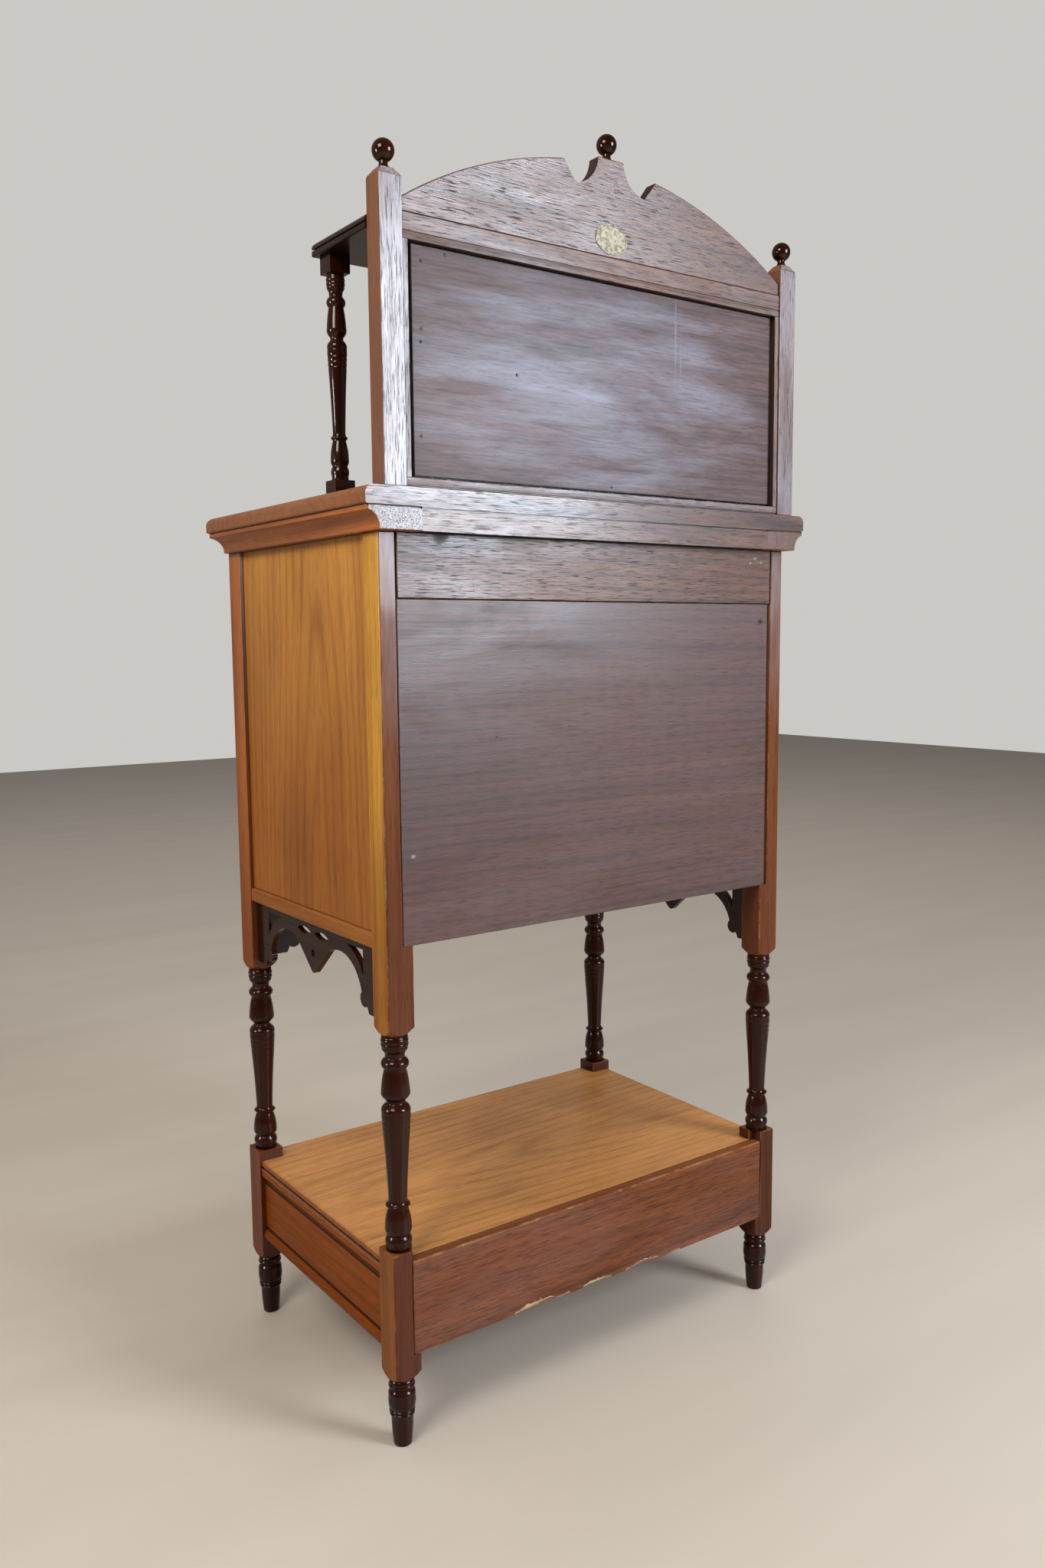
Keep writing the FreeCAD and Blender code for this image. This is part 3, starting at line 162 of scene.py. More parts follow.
# Knots, chips and scratches at the back in millimetres: place across, height, half width, half height, tone
KNOT = (0.012, 0.007, 0.006)
CHIP = (0.30, 0.25, 0.22)
SCRATCH = (0.17, 0.16, 0.19)
PANEL_SPOTS = [(-262, 921, 7, 4.5, KNOT), (265, 671, 3.5, 2.5, CHIP), (155, 793, 2.5, 1.5, KNOT)]
RAIL_SPOTS = [(225, 1008, 16, 9, KNOT), (-250, 1001, 2.6, 1.6, CHIP), (-242, 995, 1.8, 1.3, CHIP),
              (-261, 996, 2.0, 1.3, CHIP)]
BOARD_SPOTS = [(-104, 1248, 1.6, 46, SCRATCH), (-112, 1226, 1.0, 24, SCRATCH)]

# Growth rings that show as arches along a board, and the reach of the painted shade and old dust round the
# back's frames
ARCHED = {"taper": 0.10, "pitch": 7.0 * MM}
FRAME_DUST_AND_SHADE = 14.0 * MM
# Tones that darken the wood in clouds and, as painted shade, down its length, and the tone of the mirror's
# spots
CLOUD_SHADE = (0.5, 0.45, 0.42, 1.0)
DEEP_SHADE = (0.48, 0.27, 0.12, 1.0)
FOXING = (0.12, 0.10, 0.08, 1.0)

# Woods: where each is used, and the tones of its light and its dark streaks
WOODS = {
    "honey": ("the side panels", (0.58, 0.265, 0.046), (0.38, 0.135, 0.019)),
    "shelf": ("the lower shelf", (0.495, 0.222, 0.06), (0.3, 0.116, 0.027)),
    "post": ("the rear posts", (0.7, 0.375, 0.056), (0.38, 0.15, 0.016)),
    "front": ("the front posts", (0.44, 0.135, 0.028), (0.24, 0.064, 0.011)),
    "door": ("the doors' frames", (0.47, 0.175, 0.034), (0.27, 0.084, 0.014)),
    "rear": ("the posts' stained faces", (0.185, 0.058, 0.02), (0.085, 0.024, 0.008)),
    "moulding": ("the cornice's mouldings", (0.46, 0.13, 0.012), (0.22, 0.055, 0.005)),
    "side": ("the base's sides", (0.3, 0.075, 0.004), (0.16, 0.036, 0.002)),
    "back": ("the back panel", (0.112, 0.048, 0.034), (0.044, 0.018, 0.0132)),
    "frame": ("the stained frames", (0.175, 0.073, 0.037), (0.032, 0.012, 0.007)),
    "gallery": ("the gallery's varnish", (0.22, 0.072, 0.020), (0.11, 0.033, 0.009)),
    "nosing": ("the top board", (0.3, 0.095, 0.018), (0.15, 0.042, 0.008)),
    "board": ("the gallery's back board", (0.12, 0.0595, 0.0525), (0.048, 0.0232, 0.0208)),
    "apron": ("the base's back", (0.205, 0.055, 0.0115), (0.078, 0.02, 0.0055)),
    "polish": ("the black polish", (0.032, 0.0062, 0.0021), (0.0075, 0.002, 0.001)),
    "bare": ("the unvarnished inside", (0.46, 0.30, 0.16), (0.30, 0.18, 0.09)),
}
# Other tones: what each one shows, and the tone
TONES = {
    # The two haze tones below are partly real bloom and partly painted sheen of the window light
    "bloom": ("Greyish haze on the old varnish of the back", (0.35, 0.335, 0.37)),
    "board_bloom": ("Bluish haze on the gallery's back board", (0.36, 0.385, 0.495)),
    "worn": ("Wood where the varnish is rubbed off", (0.460, 0.260, 0.120)),
    "split": ("Bare wood of fresh chips", (0.60, 0.40, 0.21)),
    # This tone also darkens hollows, joints and the back's arrises as painted shade
    "grime": ("Old wax and dust in joints and hollows", (0.020, 0.013, 0.010)),
    "brass": ("Clean brass of hinges, key and bolt", (0.60, 0.42, 0.17)),
    "tarnish": ("Dull spots on the brass", (0.22, 0.14, 0.06)),
    "gilt": ("Pale gold of the oval plate", (0.235, 0.205, 0.142)),
    "iron": ("Dull iron of lock and nails", (0.20, 0.19, 0.18)),
    "silver": ("Reflecting side of the mirror", (0.84, 0.86, 0.86)),
}


def length_property(name, description, default):
    return bpy.props.FloatProperty(name=name, description=description, default=default, unit="LENGTH")


def colour_property(name, description, default):
    return bpy.props.FloatVectorProperty(
        name=name, description=description, default=default, size=3, min=0.0, max=1.0, subtype="COLOR")


def colour_fields():
    """Two colour properties for each wood, and one for each other tone."""
    fields = {}
    for wood, (use, light, dark) in WOODS.items():
        for kind, tone in (("light", light), ("dark", dark)):
            label = wood.capitalize() + " " + kind
            fields[wood + "_" + kind] = colour_property(label, kind.capitalize() + " streaks of " + use, tone)
    for name, (use, tone) in TONES.items():
        fields[name] = colour_property(name.replace("_", " ").capitalize(), use, tone)
    return fields


class CabinetWear(bpy.types.PropertyGroup):
    arris: length_property("Arris", "Rounding of the boards' worn edges", 0.9 * MM)
    post_arris: length_property("Post arris", "Rounding of the corner posts' edges", 1.5 * MM)
    apron_arris: length_property("Apron arris", "Rounding of the back apron's edges", 2.0 * MM)
    fine_arris: length_property("Fine arris", "Rounding of small pieces' edges", 0.4 * MM)
    nail_radius: length_property("Nail head", "Radius of the nail heads at the back", 1.7 * MM)
    chip_depth: length_property("Chips", "Depth of the chips along the lower back edge", 3.0 * MM)
    groove: length_property("Groove", "Depth of the lines along the gallery's rails", 1.4 * MM)
    quirk: length_property("Quirk", "Depth of the dark lines along the base's sides", 1.8 * MM)


class CabinetColours(bpy.types.PropertyGroup):
    __annotations__ = colour_fields()


class CabinetStage(bpy.types.PropertyGroup):
    floor: colour_property("Floor", "Plain floor", (0.490, 0.420, 0.350))
    wall: colour_property("Surroundings", "Plain pale surroundings", (0.60, 0.585, 0.56))
    floor_size: length_property("Floor size", "Side of the square floor", 16.0)
    lens: bpy.props.FloatProperty(
        name="Lens", description="Focal length on a 36 mm sensor", default=28.36, subtype="DISTANCE_CAMERA")
    eye: bpy.props.FloatVectorProperty(
        name="Eye", description="Where the camera stands", default=(0.933, 1.3147, 0.8975), subtype="XYZ")
    gaze: bpy.props.FloatVectorProperty(
        name="Gaze", description="Where the camera looks", default=(-0.58249, -0.80478, -0.11418),
        subtype="DIRECTION")
    roll: bpy.props.FloatProperty(
        name="Roll", description="Tilt of the camera", default=math.radians(-0.51), subtype="ANGLE")


def wear():
    return bpy.context.scene.cabinet_wear


def colours():
    return bpy.context.scene.cabinet_colours


def stage():
    return bpy.context.scene.cabinet_stage


def streaks_of(wood):
    """The light and the dark tone of a wood."""
    return getattr(colours(), wood + "_light"), getattr(colours(), wood + "_dark")


def rgba(colour, factor=1.0):
    return (colour[0] * factor, colour[1] * factor, colour[2] * factor, 1.0)


def stretched(grain, across, along):
    scale = [across, across, across]
    scale["XYZ".index(grain)] = along
    return scale


class Graph:
    """A node tree being laid out; its methods add nodes and hand back their output sockets."""

    def __init__(self, owner):
        owner.use_nodes = True
        self.tree = owner.node_tree
        coordinates = self.tree.nodes.new("ShaderNodeTexCoord")
        self.position = coordinates.outputs["Object"]
        self.normal = coordinates.outputs["Normal"]
        self.direction = coordinates.outputs["Generated"]

    def put(self, socket, value):
        if isinstance(value, bpy.types.NodeSocket):
            self.tree.links.new(value, socket)
        else:
            socket.default_value = value

    def node(self, kind, inputs, **settings):
        made = self.tree.nodes.new("ShaderNode" + kind)
        for name, value in settings.items():
            setattr(made, name, value)
        for key, value in inputs.items():
            self.put(made.inputs[key], value)
        return made

    def place(self, scale, shift=ORIGIN, turn=ORIGIN):
        inputs = {"Vector": self.position, "Location": shift, "Rotation": turn, "Scale": scale}
        return self.node("Mapping", inputs).outputs["Vector"]

    def noise(self, vector, detail, roughness=0.5, distortion=0.0):
        inputs = {"Vector": vector, "Scale": 1.0, "Detail": detail, "Roughness": roughness,
                  "Distortion": distortion}
        return self.node("TexNoise", inputs).outputs["Fac"]

    def even_noise(self, scale, detail, roughness=0.5):
        return self.noise(self.place((scale, scale, scale)), detail, roughness)

    def streaks(self, grain, across, along, middle, detail, roughness=0.5, distortion=0.0, turn=ORIGIN):
        """Noise that is drawn out along the grain."""
        vector = self.place(stretched(grain, across, along), middle, turn)
        return self.noise(vector, detail, roughness, distortion)

    def math(self, operation, first, second=0.0):
        return self.node("Math", {0: first, 1: second}, operation=operation).outputs["Value"]

    def times(self, first, second):
        return self.math("MULTIPLY", first, second)

    def plus(self, first, second):
        return self.math("ADD", first, second)

    def minus(self, first, second):
        return self.math("SUBTRACT", first, second)

    def larger(self, first, second):
        return self.math("MAXIMUM", first, second)

    def length(self, vector):
        return self.node("VectorMath", {0: vector}, operation="LENGTH").outputs["Value"]

    def apart(self, x, z, wide, tall):
        """Distance from a place at the back, in parts of a half width and a half height."""
        return self.length(self.place((1.0 / wide, 0.0, 1.0 / tall), (-x / wide, 0.0, -z / tall)))

    def between(self, value, low, high, to_low=0.0, to_high=1.0):
        inputs = {"Value": value, "From Min": low, "From Max": high, "To Min": to_low, "To Max": to_high}
        return self.node("MapRange", inputs, clamp=True).outputs["Result"]

    def mix(self, factor, first, second, blend="MIX"):
        made = self.node("Mix", {}, data_type="RGBA", blend_type=blend)
        self.put(made.inputs[0], factor)
        self.put(made.inputs[6], first)
        self.put(made.inputs[7], second)
        return made.outputs[2]

    def part(self, socket, axis):
        return self.node("SeparateXYZ", {"Vector": socket}).outputs[axis]

    def attribute(self, name):
        return self.node("Attribute", {}, attribute_name=name).outputs["Fac"]

    def bump(self, height, strength, distance):
        inputs = {"Strength": strength, "Distance": distance, "Height": height}
        return self.node("Bump", inputs).outputs["Normal"]

    def level(self):
        """Height over the floor."""
        return self.part(self.position, "Z")

    def rearward(self):
        """How far a surface faces the back."""
        return self.between(self.part(self.normal, "Y"), 0.5, 0.8)


class Finish(Graph):
    """The nodes of a material."""

    def __init__(self, name, roughness=0.5, metallic=0.0, coat=0.0, coat_roughness=0.2, specular=0.5):
        self.material = bpy.data.materials.new(name)
        super().__init__(self.material)
        self.shader = self.tree.nodes["Principled BSDF"]
        self.surfaced(Roughness=roughness, Metallic=metallic, Specular_IOR_Level=specular, Coat_Weight=coat,
                      Coat_Roughness=coat_roughness)

    def surfaced(self, **sockets):
        """Set or link the shader's sockets, named with underscores, and hand back the material."""
        for name, value in sockets.items():
            self.put(self.shader.inputs[name.replace("_", " ")], value)
        return self.material


def grained(finish, grain, wood, middle=ORIGIN, taper=0.05, pitch=8.0 * MM, figure=0.3, pores=0.35):
    """Colour, height and fibre of sawn wood; its rings run round a middle and taper along the grain."""
    light, dark = streaks_of(wood)
    scale = stretched(grain, 1.0, taper)
    centred = finish.place(scale, tuple(-at * size for at, size in zip(middle, scale)))
    waver = finish.streaks(grain, 11.0, 1.5, middle, detail=3.0)
    distance = finish.plus(finish.length(centred), finish.times(waver, 0.05))
    rings = finish.math("PINGPONG", finish.math("DIVIDE", distance, pitch), 1.0)
    bands = finish.streaks(grain, 55.0, 1.6, middle, detail=4.0, roughness=0.6)
    fibre = finish.streaks(grain, 420.0, 7.0, middle, detail=4.0, roughness=0.65)
    pore = finish.streaks(grain, 900.0, 45.0, middle, detail=1.0)
    clouds = finish.streaks(grain, 8.0, 3.5, middle, detail=4.0)
    late = finish.times(finish.between(rings, 0.45, 1.0), finish.between(clouds, 0.3, 0.6, 0.3, 1.0))
    tone = finish.plus(finish.times(late, figure), finish.times(bands, 1.0 - figure))
    tone = finish.plus(finish.times(tone, 0.55), finish.times(fibre, 0.45))
    colour = finish.mix(finish.between(tone, 0.28, 0.66), rgba(light), rgba(dark))
    colour = finish.mix(finish.between(clouds, 0.42, 0.72, 0.0, 0.5), colour, CLOUD_SHADE, "MULTIPLY")
    pits = finish.between(pore, 0.56, 0.66, 0.0, pores)
    colour = finish.mix(pits, colour, rgba(dark, 0.35))
    return colour, finish.minus(fibre, pits), fibre


def deepened(finish, colour, factor):
    """The colour in a deeper, redder tone."""
    return finish.mix(factor, colour, DEEP_SHADE, "MULTIPLY")


def rubbed(finish, colour, tone, share=0.7):
    """The colour with another tone along the arrises, broken up into patches."""
    patches = finish.even_noise(26.0, detail=6.0, roughness=0.7)
    mask = finish.times(finish.attribute("arris"), finish.between(patches, 0.46, 0.66, 0.0, share))
    return finish.mix(mask, colour, rgba(tone))


def dusted_and_shaded(finish, colour, share=0.85, reach=5.0 * MM):
    """The colour darkened where ambient occlusion finds hollows and joints: painted shade, standing also for
    old wax and dust there.
    """
    hollow = finish.node("AmbientOcclusion", {"Distance": reach}, samples=6).outputs["AO"]
    return finish.mix(finish.between(hollow, 0.2, 0.75, share, 0.0), colour, rgba(colours().grime))


def spotted(finish, colour, spots):
    """The colour with single knots, chips or scratches, and where they lie."""
    marks = 0.0
    for x, z, wide, tall, tone in spots:
        distance = finish.apart(x * MM, z * MM, wide * MM, tall * MM)
        ragged = finish.plus(distance, finish.even_noise(90.0, detail=3.0))
        mark = finish.between(ragged, 0.7, 1.7, 0.9, 0.0)
        colour = finish.mix(mark, colour, rgba(tone))
        marks = finish.larger(marks, mark)
    return colour, marks


def fibrous(finish, colour, height, fibre, roughness, bump):
    """The material of a wood whose fibres set its roughness and relief."""
    return finish.surfaced(Base_Color=colour, Roughness=finish.between(fibre, 0.3, 0.7, *roughness),
                           Normal=finish.bump(height, bump, 0.4 * MM))


def varnished(name, grain, wood, middle, taper=0.05, pitch=8.0 * MM, figure=0.3, deep=0.0, specular=0.2,
              edges=None, reach=5.0 * MM, span=(0.66, 1.0), grime=0.9):
    """Wood under an old, worn varnish, darker and redder down its span as painted shade; its edges may have
    another wood's tones.
    """
    finish = Finish(name, coat=0.05, coat_roughness=0.2, specular=specular)
    colour, height, fibre = grained(finish, grain, wood, middle, taper, pitch, figure)
    # Darker and redder below the span: painted shade of the light falling from above
    colour = deepened(finish, colour, finish.between(finish.level(), *span, deep, 0.0))
    if edges:
        flat = finish.math("ABSOLUTE", finish.part(finish.normal, "Z"))
        edge, _, _ = grained(finish, grain, edges, middle)
        colour = finish.mix(finish.between(flat, 0.6, 0.8), edge, colour)
    colour = rubbed(finish, colour, colours().worn)
    # Scored quirks and joints are painted in the dark dust tone: painted shade in the grooves, with old dust
    colour = finish.mix(finish.times(finish.attribute("hollow"), 0.65), colour, rgba(colours().grime))
    # Hollows and joints found by ambient occlusion are darkened: painted shade, with old wax and dust
    return fibrous(finish, dusted_and_shaded(finish, colour, grime, reach), height, fibre, (0.34, 0.5), 0.25)


def polished(name, grain, roughness=(0.14, 0.26)):
    """Black polish over red-brown wood, with sharp highlights."""
    finish = Finish(name, coat=0.4, coat_roughness=0.07, specular=0.08)
    colour, height, fibre = grained(finish, grain, "polish", pores=0.2)
    # Rings and hollows found by ambient occlusion are darkened: painted shade, with old wax and dust
    return fibrous(finish, dusted_and_shaded(finish, colour, 0.9, 4.0 * MM), height, fibre, roughness, 0.1)


def bare(name, grain, middle):
    """Unvarnished wood of the inside."""
    finish = Finish(name, specular=0.3)
    colour, height, fibre = grained(finish, grain, "bare", middle)
    # Corners found by ambient occlusion are darkened: painted shade, with old dust
    return fibrous(finish, dusted_and_shaded(finish, colour, 0.6), height, fibre, (0.6, 0.8), 0.35)


def stained_back(name, wood, middle, bloom, front, grain="X", roughness=(0.24, 0.56), coat=0.1, slant=0.0,
                 edge=None, specular=0.4, near=None, spots=(), reach=5.0 * MM, bump=0.3, pores=0.75,
                 other_roughness=0.5, haze_tone="bloom"):
    """Wood thinly stained at the back, with open grain, wiped sheen and a hazy bloom that is partly painted
    sheen;
    its other faces have the front's wood. Near a place, (x, z, half width, half height), the haze is painted
    sheen."""
    finish = Finish(name, coat=coat, coat_roughness=0.3, specular=specular)
    colour, height, fibre = grained(finish, grain, wood, middle, 0.03, 6.0 * MM, 0.3, 0.6)
    turn = (0.0, slant, 0.0)
    wiped = finish.streaks(grain, 13.0, 3.5, middle, detail=7.0, roughness=0.62, distortion=0.8, turn=turn)
    flecks = finish.streaks(grain, 640.0, 44.0, middle, detail=3.0, roughness=0.6, turn=turn)
    # The haze mixed in below is partly a real greyish bloom and partly painted sheen of the light on the back
    haze = finish.between(wiped, 0.38, 0.66, 0.1 * bloom, bloom)
    dull = finish.plus(finish.times(fibre, 0.4), finish.minus(0.8, wiped))
    # Near the given place the haze gathers into a patch: painted sheen where the light would reflect
    if near:
        smears = finish.streaks(grain, 30.0, 5.0, middle, detail=5.0, roughness=0.65, turn=turn)
        ragged = finish.plus(finish.apart(*near), finish.times(smears, 2.4))
        sheen_patch = finish.between(ragged, 1.0, 2.3, 1.0, 0.0)
        haze = finish.times(finish.between(wiped, 0.3, 0.6, 0.3 * bloom, bloom), sheen_patch)
        dull = finish.minus(dull, finish.times(sheen_patch, 0.12))
    colour = finish.mix(haze, colour, rgba(getattr(colours(), haze_tone)))
    open_grain = finish.between(flecks, 0.52, 0.66, 0.0, pores)
    _, dark = streaks_of(wood)
    colour = finish.mix(open_grain, colour, rgba(dark, 0.5))
    colour, marks = spotted(finish, colour, spots)
    other, _, _ = grained(finish, grain, front, middle)
    colour = finish.mix(finish.rearward(), other, colour)
    # Arrises take the dark dust tone, and hollows and joints found by ambient occlusion are darkened: old
    # dust with painted shade
    colour = dusted_and_shaded(finish, rubbed(finish, colour, edge or colours().grime, 0.6), 0.95, reach)
    if edge:
        splinters = finish.noise(finish.place((45.0, 45.0, 260.0)), detail=4.0)
        chipped = finish.times(finish.attribute("chip"), finish.between(splinters, 0.4, 0.56, 0.15, 1.0))
        colour = finish.mix(chipped, colour, rgba(colours().split))
    matt = finish.larger(marks, finish.times(open_grain, 1.1))
    rough = finish.larger(matt, finish.between(dull, 0.36, 0.74, *roughness))
    rough = finish.larger(rough, finish.between(finish.rearward(), 0.0, 1.0, other_roughness, 0.0))
    relief = finish.bump(finish.minus(height, open_grain), bump, 0.3 * MM)
    return finish.surfaced(Base_Color=colour, Roughness=rough, Normal=relief)


def two_sided(name, grain, wood, middle, bloom=0.15):
    """Varnished wood whose rear faces are stained dark like the rest of the back."""
    return stained_back(name, "frame", middle, bloom, wood, grain, roughness=(0.17, 0.4), coat=0.35,
                        specular=0.3, reach=9.0 * MM)


def post_finish(name, wood, middle, inward):
    """Corner posts: varnished squares, stained at the back and inside, and black-polished turned lengths."""
    finish = Finish(name, coat=0.2, coat_roughness=0.08, specular=0.1)
    varnish, height, fibre = grained(finish, "Z", wood, middle)
    stain, _, _ = grained(finish, "Z", "rear", middle)
    polish, _, _ = grained(finish, "Z", "polish", middle, pores=0.2)
    level = finish.level()
    # Towards the top the back's stain takes a hazy bloom: partly real bloom and partly painted sheen of the
    # light
    smears = finish.noise(finish.place((60.0, 60.0, 9.0), middle), detail=4.0, roughness=0.65)
    haze = finish.times(finish.between(level, 0.78, 1.0, 0.0, 0.45), finish.between(smears, 0.3, 0.65))
    stain = finish.mix(haze, stain, rgba(colours().bloom))
    # The squares darken towards their lower end: painted shade of the light falling from above
    shaded_low = finish.between(level, LEG_TOP + 0.04, LEG_TOP + 0.26, 1.0, 0.0)
    varnish = deepened(finish, varnish, finish.times(shaded_low, 0.8))
    stain = deepened(finish, stain, finish.times(shaded_low, 0.45))
    inner = finish.between(finish.part(finish.normal, "X"), 0.5 * inward, 0.8 * inward)
    colour = finish.mix(finish.larger(finish.rearward(), inner), varnish, stain)
    colour = rubbed(finish, colour, colours().worn, 0.4)
    colour = deepened(finish, colour, finish.between(level, BLOCK_TOP, LEG_TOP, 0.6, 0.0))
    foot = finish.between(level, FOOT_TOP - 1.0 * MM, FOOT_TOP + 3.0 * MM, 1.0, 0.0)
    leg = finish.times(finish.between(level, BLOCK_TOP - 1.0 * MM, BLOCK_TOP + 2.0 * MM),
                       finish.between(level, LEG_TOP - 1.0 * MM, LEG_TOP + 3.0 * MM, 1.0, 0.0))
    lathe = finish.larger(foot, leg)
    # Hollows and rings found by ambient occlusion are darkened: painted shade, with old wax and dust
    colour = dusted_and_shaded(finish, finish.mix(lathe, colour, polish), 0.9, 4.0 * MM)
    rough = finish.minus(finish.between(fibre, 0.3, 0.7, 0.30, 0.44), finish.times(lathe, 0.17))
    return finish.surfaced(Base_Color=colour, Roughness=rough, Normal=finish.bump(height, 0.2, 0.4 * MM))


def metal(name, clean, dull, roughness, scale=60.0):
    """Old metal with dull spots and fine scratches."""
    finish = Finish(name, metallic=1.0)
    spots = finish.even_noise(scale, detail=4.0, roughness=0.6)
    grit = finish.even_noise(900.0, detail=2.0)
    colour = finish.mix(finish.between(spots, 0.45, 0.75, 0.0, 0.8), rgba(clean), rgba(dull))
    return finish.surfaced(Base_Color=colour, Roughness=finish.between(spots, 0.35, 0.75, *roughness),
                           Normal=finish.bump(grit, 0.08, 0.1 * MM))


def silvered(name):
    """Old mirror: clear in the middle, foxed spots that gather near its edges."""
    finish = Finish(name, metallic=1.0)
    low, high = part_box("mirror_glass")
    middle = (low.z + high.z) / 2
    across = finish.math("ABSOLUTE", finish.part(finish.position, "X"))
    upright = finish.math("ABSOLUTE", finish.minus(finish.level(), middle))
    edge = finish.larger(finish.between(across, high.x - 0.07, high.x),
                         finish.between(upright, high.z - middle - 0.05, high.z - middle))
    spots = finish.even_noise(55.0, detail=5.0, roughness=0.7)
    foxed = finish.times(finish.between(spots, 0.5, 0.66), finish.plus(edge, 0.06))
    return finish.surfaced(Base_Color=finish.mix(foxed, rgba(colours().silver), FOXING),
                           Roughness=finish.between(foxed, 0.0, 0.6, 0.03, 0.35))


def face_marks(shape, name):
    """The layer of a shape's faces that holds a kind of wear."""
    return shape.faces.layers.float.get(name) or shape.faces.layers.float.new(name)


def merge_flat(shape):
    """Merge neighbouring faces that lie in one plane."""
    bmesh.ops.dissolve_limit(shape, angle_limit=FLAT_ANGLE, use_dissolve_boundaries=False,
                             verts=shape.verts, edges=shape.edges, delimit=set())


def sliced(shape, place, direction):
    """Cut all faces along a plane and keep both sides."""
    bmesh.ops.bisect_plane(shape, geom=shape.verts[:] + shape.edges[:] + shape.faces[:], dist=WELD,
                           plane_co=place, plane_no=direction)


def extruded(shape, faces, shift):
    """Draw faces out, leave the first ones where they are, and hand back the corners that moved."""
    made = bmesh.ops.extrude_face_region(shape, geom=faces)["geom"]
    moved = [item for item in made if isinstance(item, bmesh.types.BMVert)]
    bmesh.ops.translate(shape, vec=shift, verts=moved)
    return moved


def copied(node):
    """A CAD node's shape with its loose triangles merged into whole faces; mitred boards become one, and
    boards that only touch along an edge stay apart."""
    shape = bmesh.new()
    shape.from_mesh(frame["nodes"][node].data)
    bmesh.ops.remove_doubles(shape, verts=shape.verts, dist=WELD)
    merge_flat(shape)
    within = [face for face in shape.faces if all(len(edge.link_faces) > 2 for edge in face.edges)]
    bmesh.ops.delete(shape, geom=within, context="FACES_ONLY")
    touching = [edge for edge in shape.edges if len(edge.link_faces) > 2]
    bmesh.ops.split_edges(shape, edges=touching)
    return shape


def ease(shape, width, shortest=LONG_ARRIS, flush=None):
    """Round over the long outer arrises, but those at a flush joint, and mark the rounding for wear."""
    marks = face_marks(shape, "arris")
    arrises = [edge for edge in shape.edges
               if edge.is_manifold and edge.is_convex and edge.calc_length() > shortest
               and edge.calc_face_angle() > CREASE_ANGLE and not (flush and flush(edge))]
    made = bmesh.ops.bevel(shape, geom=arrises, offset=width, offset_type="OFFSET", segments=2, profile=0.5,
                           affect="EDGES", clamp_overlap=True, material=-1)
    for face in made["faces"]:
        face[marks] = 1.0
    bmesh.ops.dissolve_degenerate(shape, dist=DEGENERATE, edges=shape.edges)


def scored(shape, low, high, facing, depth, beyond):
    """Sink a line between two heights into the outer faces that look one way, and mark it for old dirt and
    painted shade.
    """
    marks = face_marks(shape, "hollow")
    for level in (low, high):
        sliced(shape, (0, 0, level), (0, 0, 1))
    line = [face for face in shape.faces
            if face.normal.dot(facing) > SQUARELY and low < face.calc_center_median().z < high
            and face.calc_center_median().dot(facing) > beyond]
    sunk = extruded(shape, line, -depth * facing)
    bmesh.ops.delete(shape, geom=line, context="FACES")
    for face in {face for vert in sunk for face in vert.link_faces}:
        face[marks] = 1.0


def turned_profile(radius, cuts, length, radius_scale=1.0):
    """Points (radius, drop) of a turning in metres, from its top down."""
    stretch = length / sum(cut[0] for cut in cuts)
    grow = MM * radius_scale
    points = [(radius * grow, 0.0)]
    for cut, end, bulge in cuts:
        start, drop = points[-1]
        steps = ARC_STEPS if bulge else 1
        for step in range(1, steps + 1):
            share = step / steps
            swell = bulge * grow * 4.0 * share * (1.0 - share)
            points.append((start + (end * grow - start) * share + swell, drop + cut * stretch * share))
    return points


def spun(points, place):
    """A closed lathe shape about its own Z axis; points are (radius, drop), then it is put in place."""
    shape = bmesh.new()
    rim = [(0.0, points[0][1])] + points + [(0.0, points[-1][1])]
    chain = [shape.verts.new((radius, 0.0, -drop)) for radius, drop in rim]
    edges = [shape.edges.new(pair) for pair in zip(chain, chain[1:])]
    bmesh.ops.spin(shape, geom=chain + edges, cent=(0, 0, 0), axis=(0, 0, 1), dvec=(0, 0, 0),
                   angle=math.tau, steps=TURNING_STEPS, use_merge=True, use_duplicate=False)
    bmesh.ops.remove_doubles(shape, verts=shape.verts, dist=2 * WELD)
    bmesh.ops.recalc_face_normals(shape, faces=shape.faces)
    bmesh.ops.transform(shape, matrix=place, verts=shape.verts)
    return shape


def block(low, high, width):
    """A box between two corners with rounded arrises."""
    shape = bmesh.new()
    size = high - low
    place = Matrix.Translation((low + high) / 2) @ Matrix.Diagonal((size.x, size.y, size.z, 1.0))
    bmesh.ops.create_cube(shape, size=1.0, matrix=place)
    ease(shape, width)
    return shape


def joined(shape, *others):
    """Add other shapes to the first and let them go."""
    for other in others:
        carrier = bpy.data.meshes.new("carrier")
        other.to_mesh(carrier)
        other.free()
        shape.from_mesh(carrier)
        bpy.data.meshes.remove(carrier)
    return shape


def finished(shape, name, body, material):
    """Turn a bmesh into a piece that rides on a body."""
    mesh = bpy.data.meshes.new(name)
    shape.to_mesh(mesh)
    shape.free()
    mesh.shade_smooth()
    mesh.set_sharp_from_angle(angle=SHARP_ANGLE)
    mesh.materials.append(material)
    piece = bpy.data.objects.new(name, mesh)
    bpy.context.scene.collection.objects.link(piece)
    weighted = piece.modifiers.new("even shading", "WEIGHTED_NORMAL")
    weighted.keep_sharp = True
    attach(piece, body)
    return piece


def dressed(node, shape, material):
    """The piece that stands for a CAD node."""
    piece = finished(shape, node + "_worn", NODE_BODY[node], material)
    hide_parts(node)


def eased(node, material, width=None, shortest=LONG_ARRIS):
    """A CAD node's own shape with worn arrises."""
    shape = copied(node)
    ease(shape, width or wear().arris, shortest)
    dressed(node, shape, material)


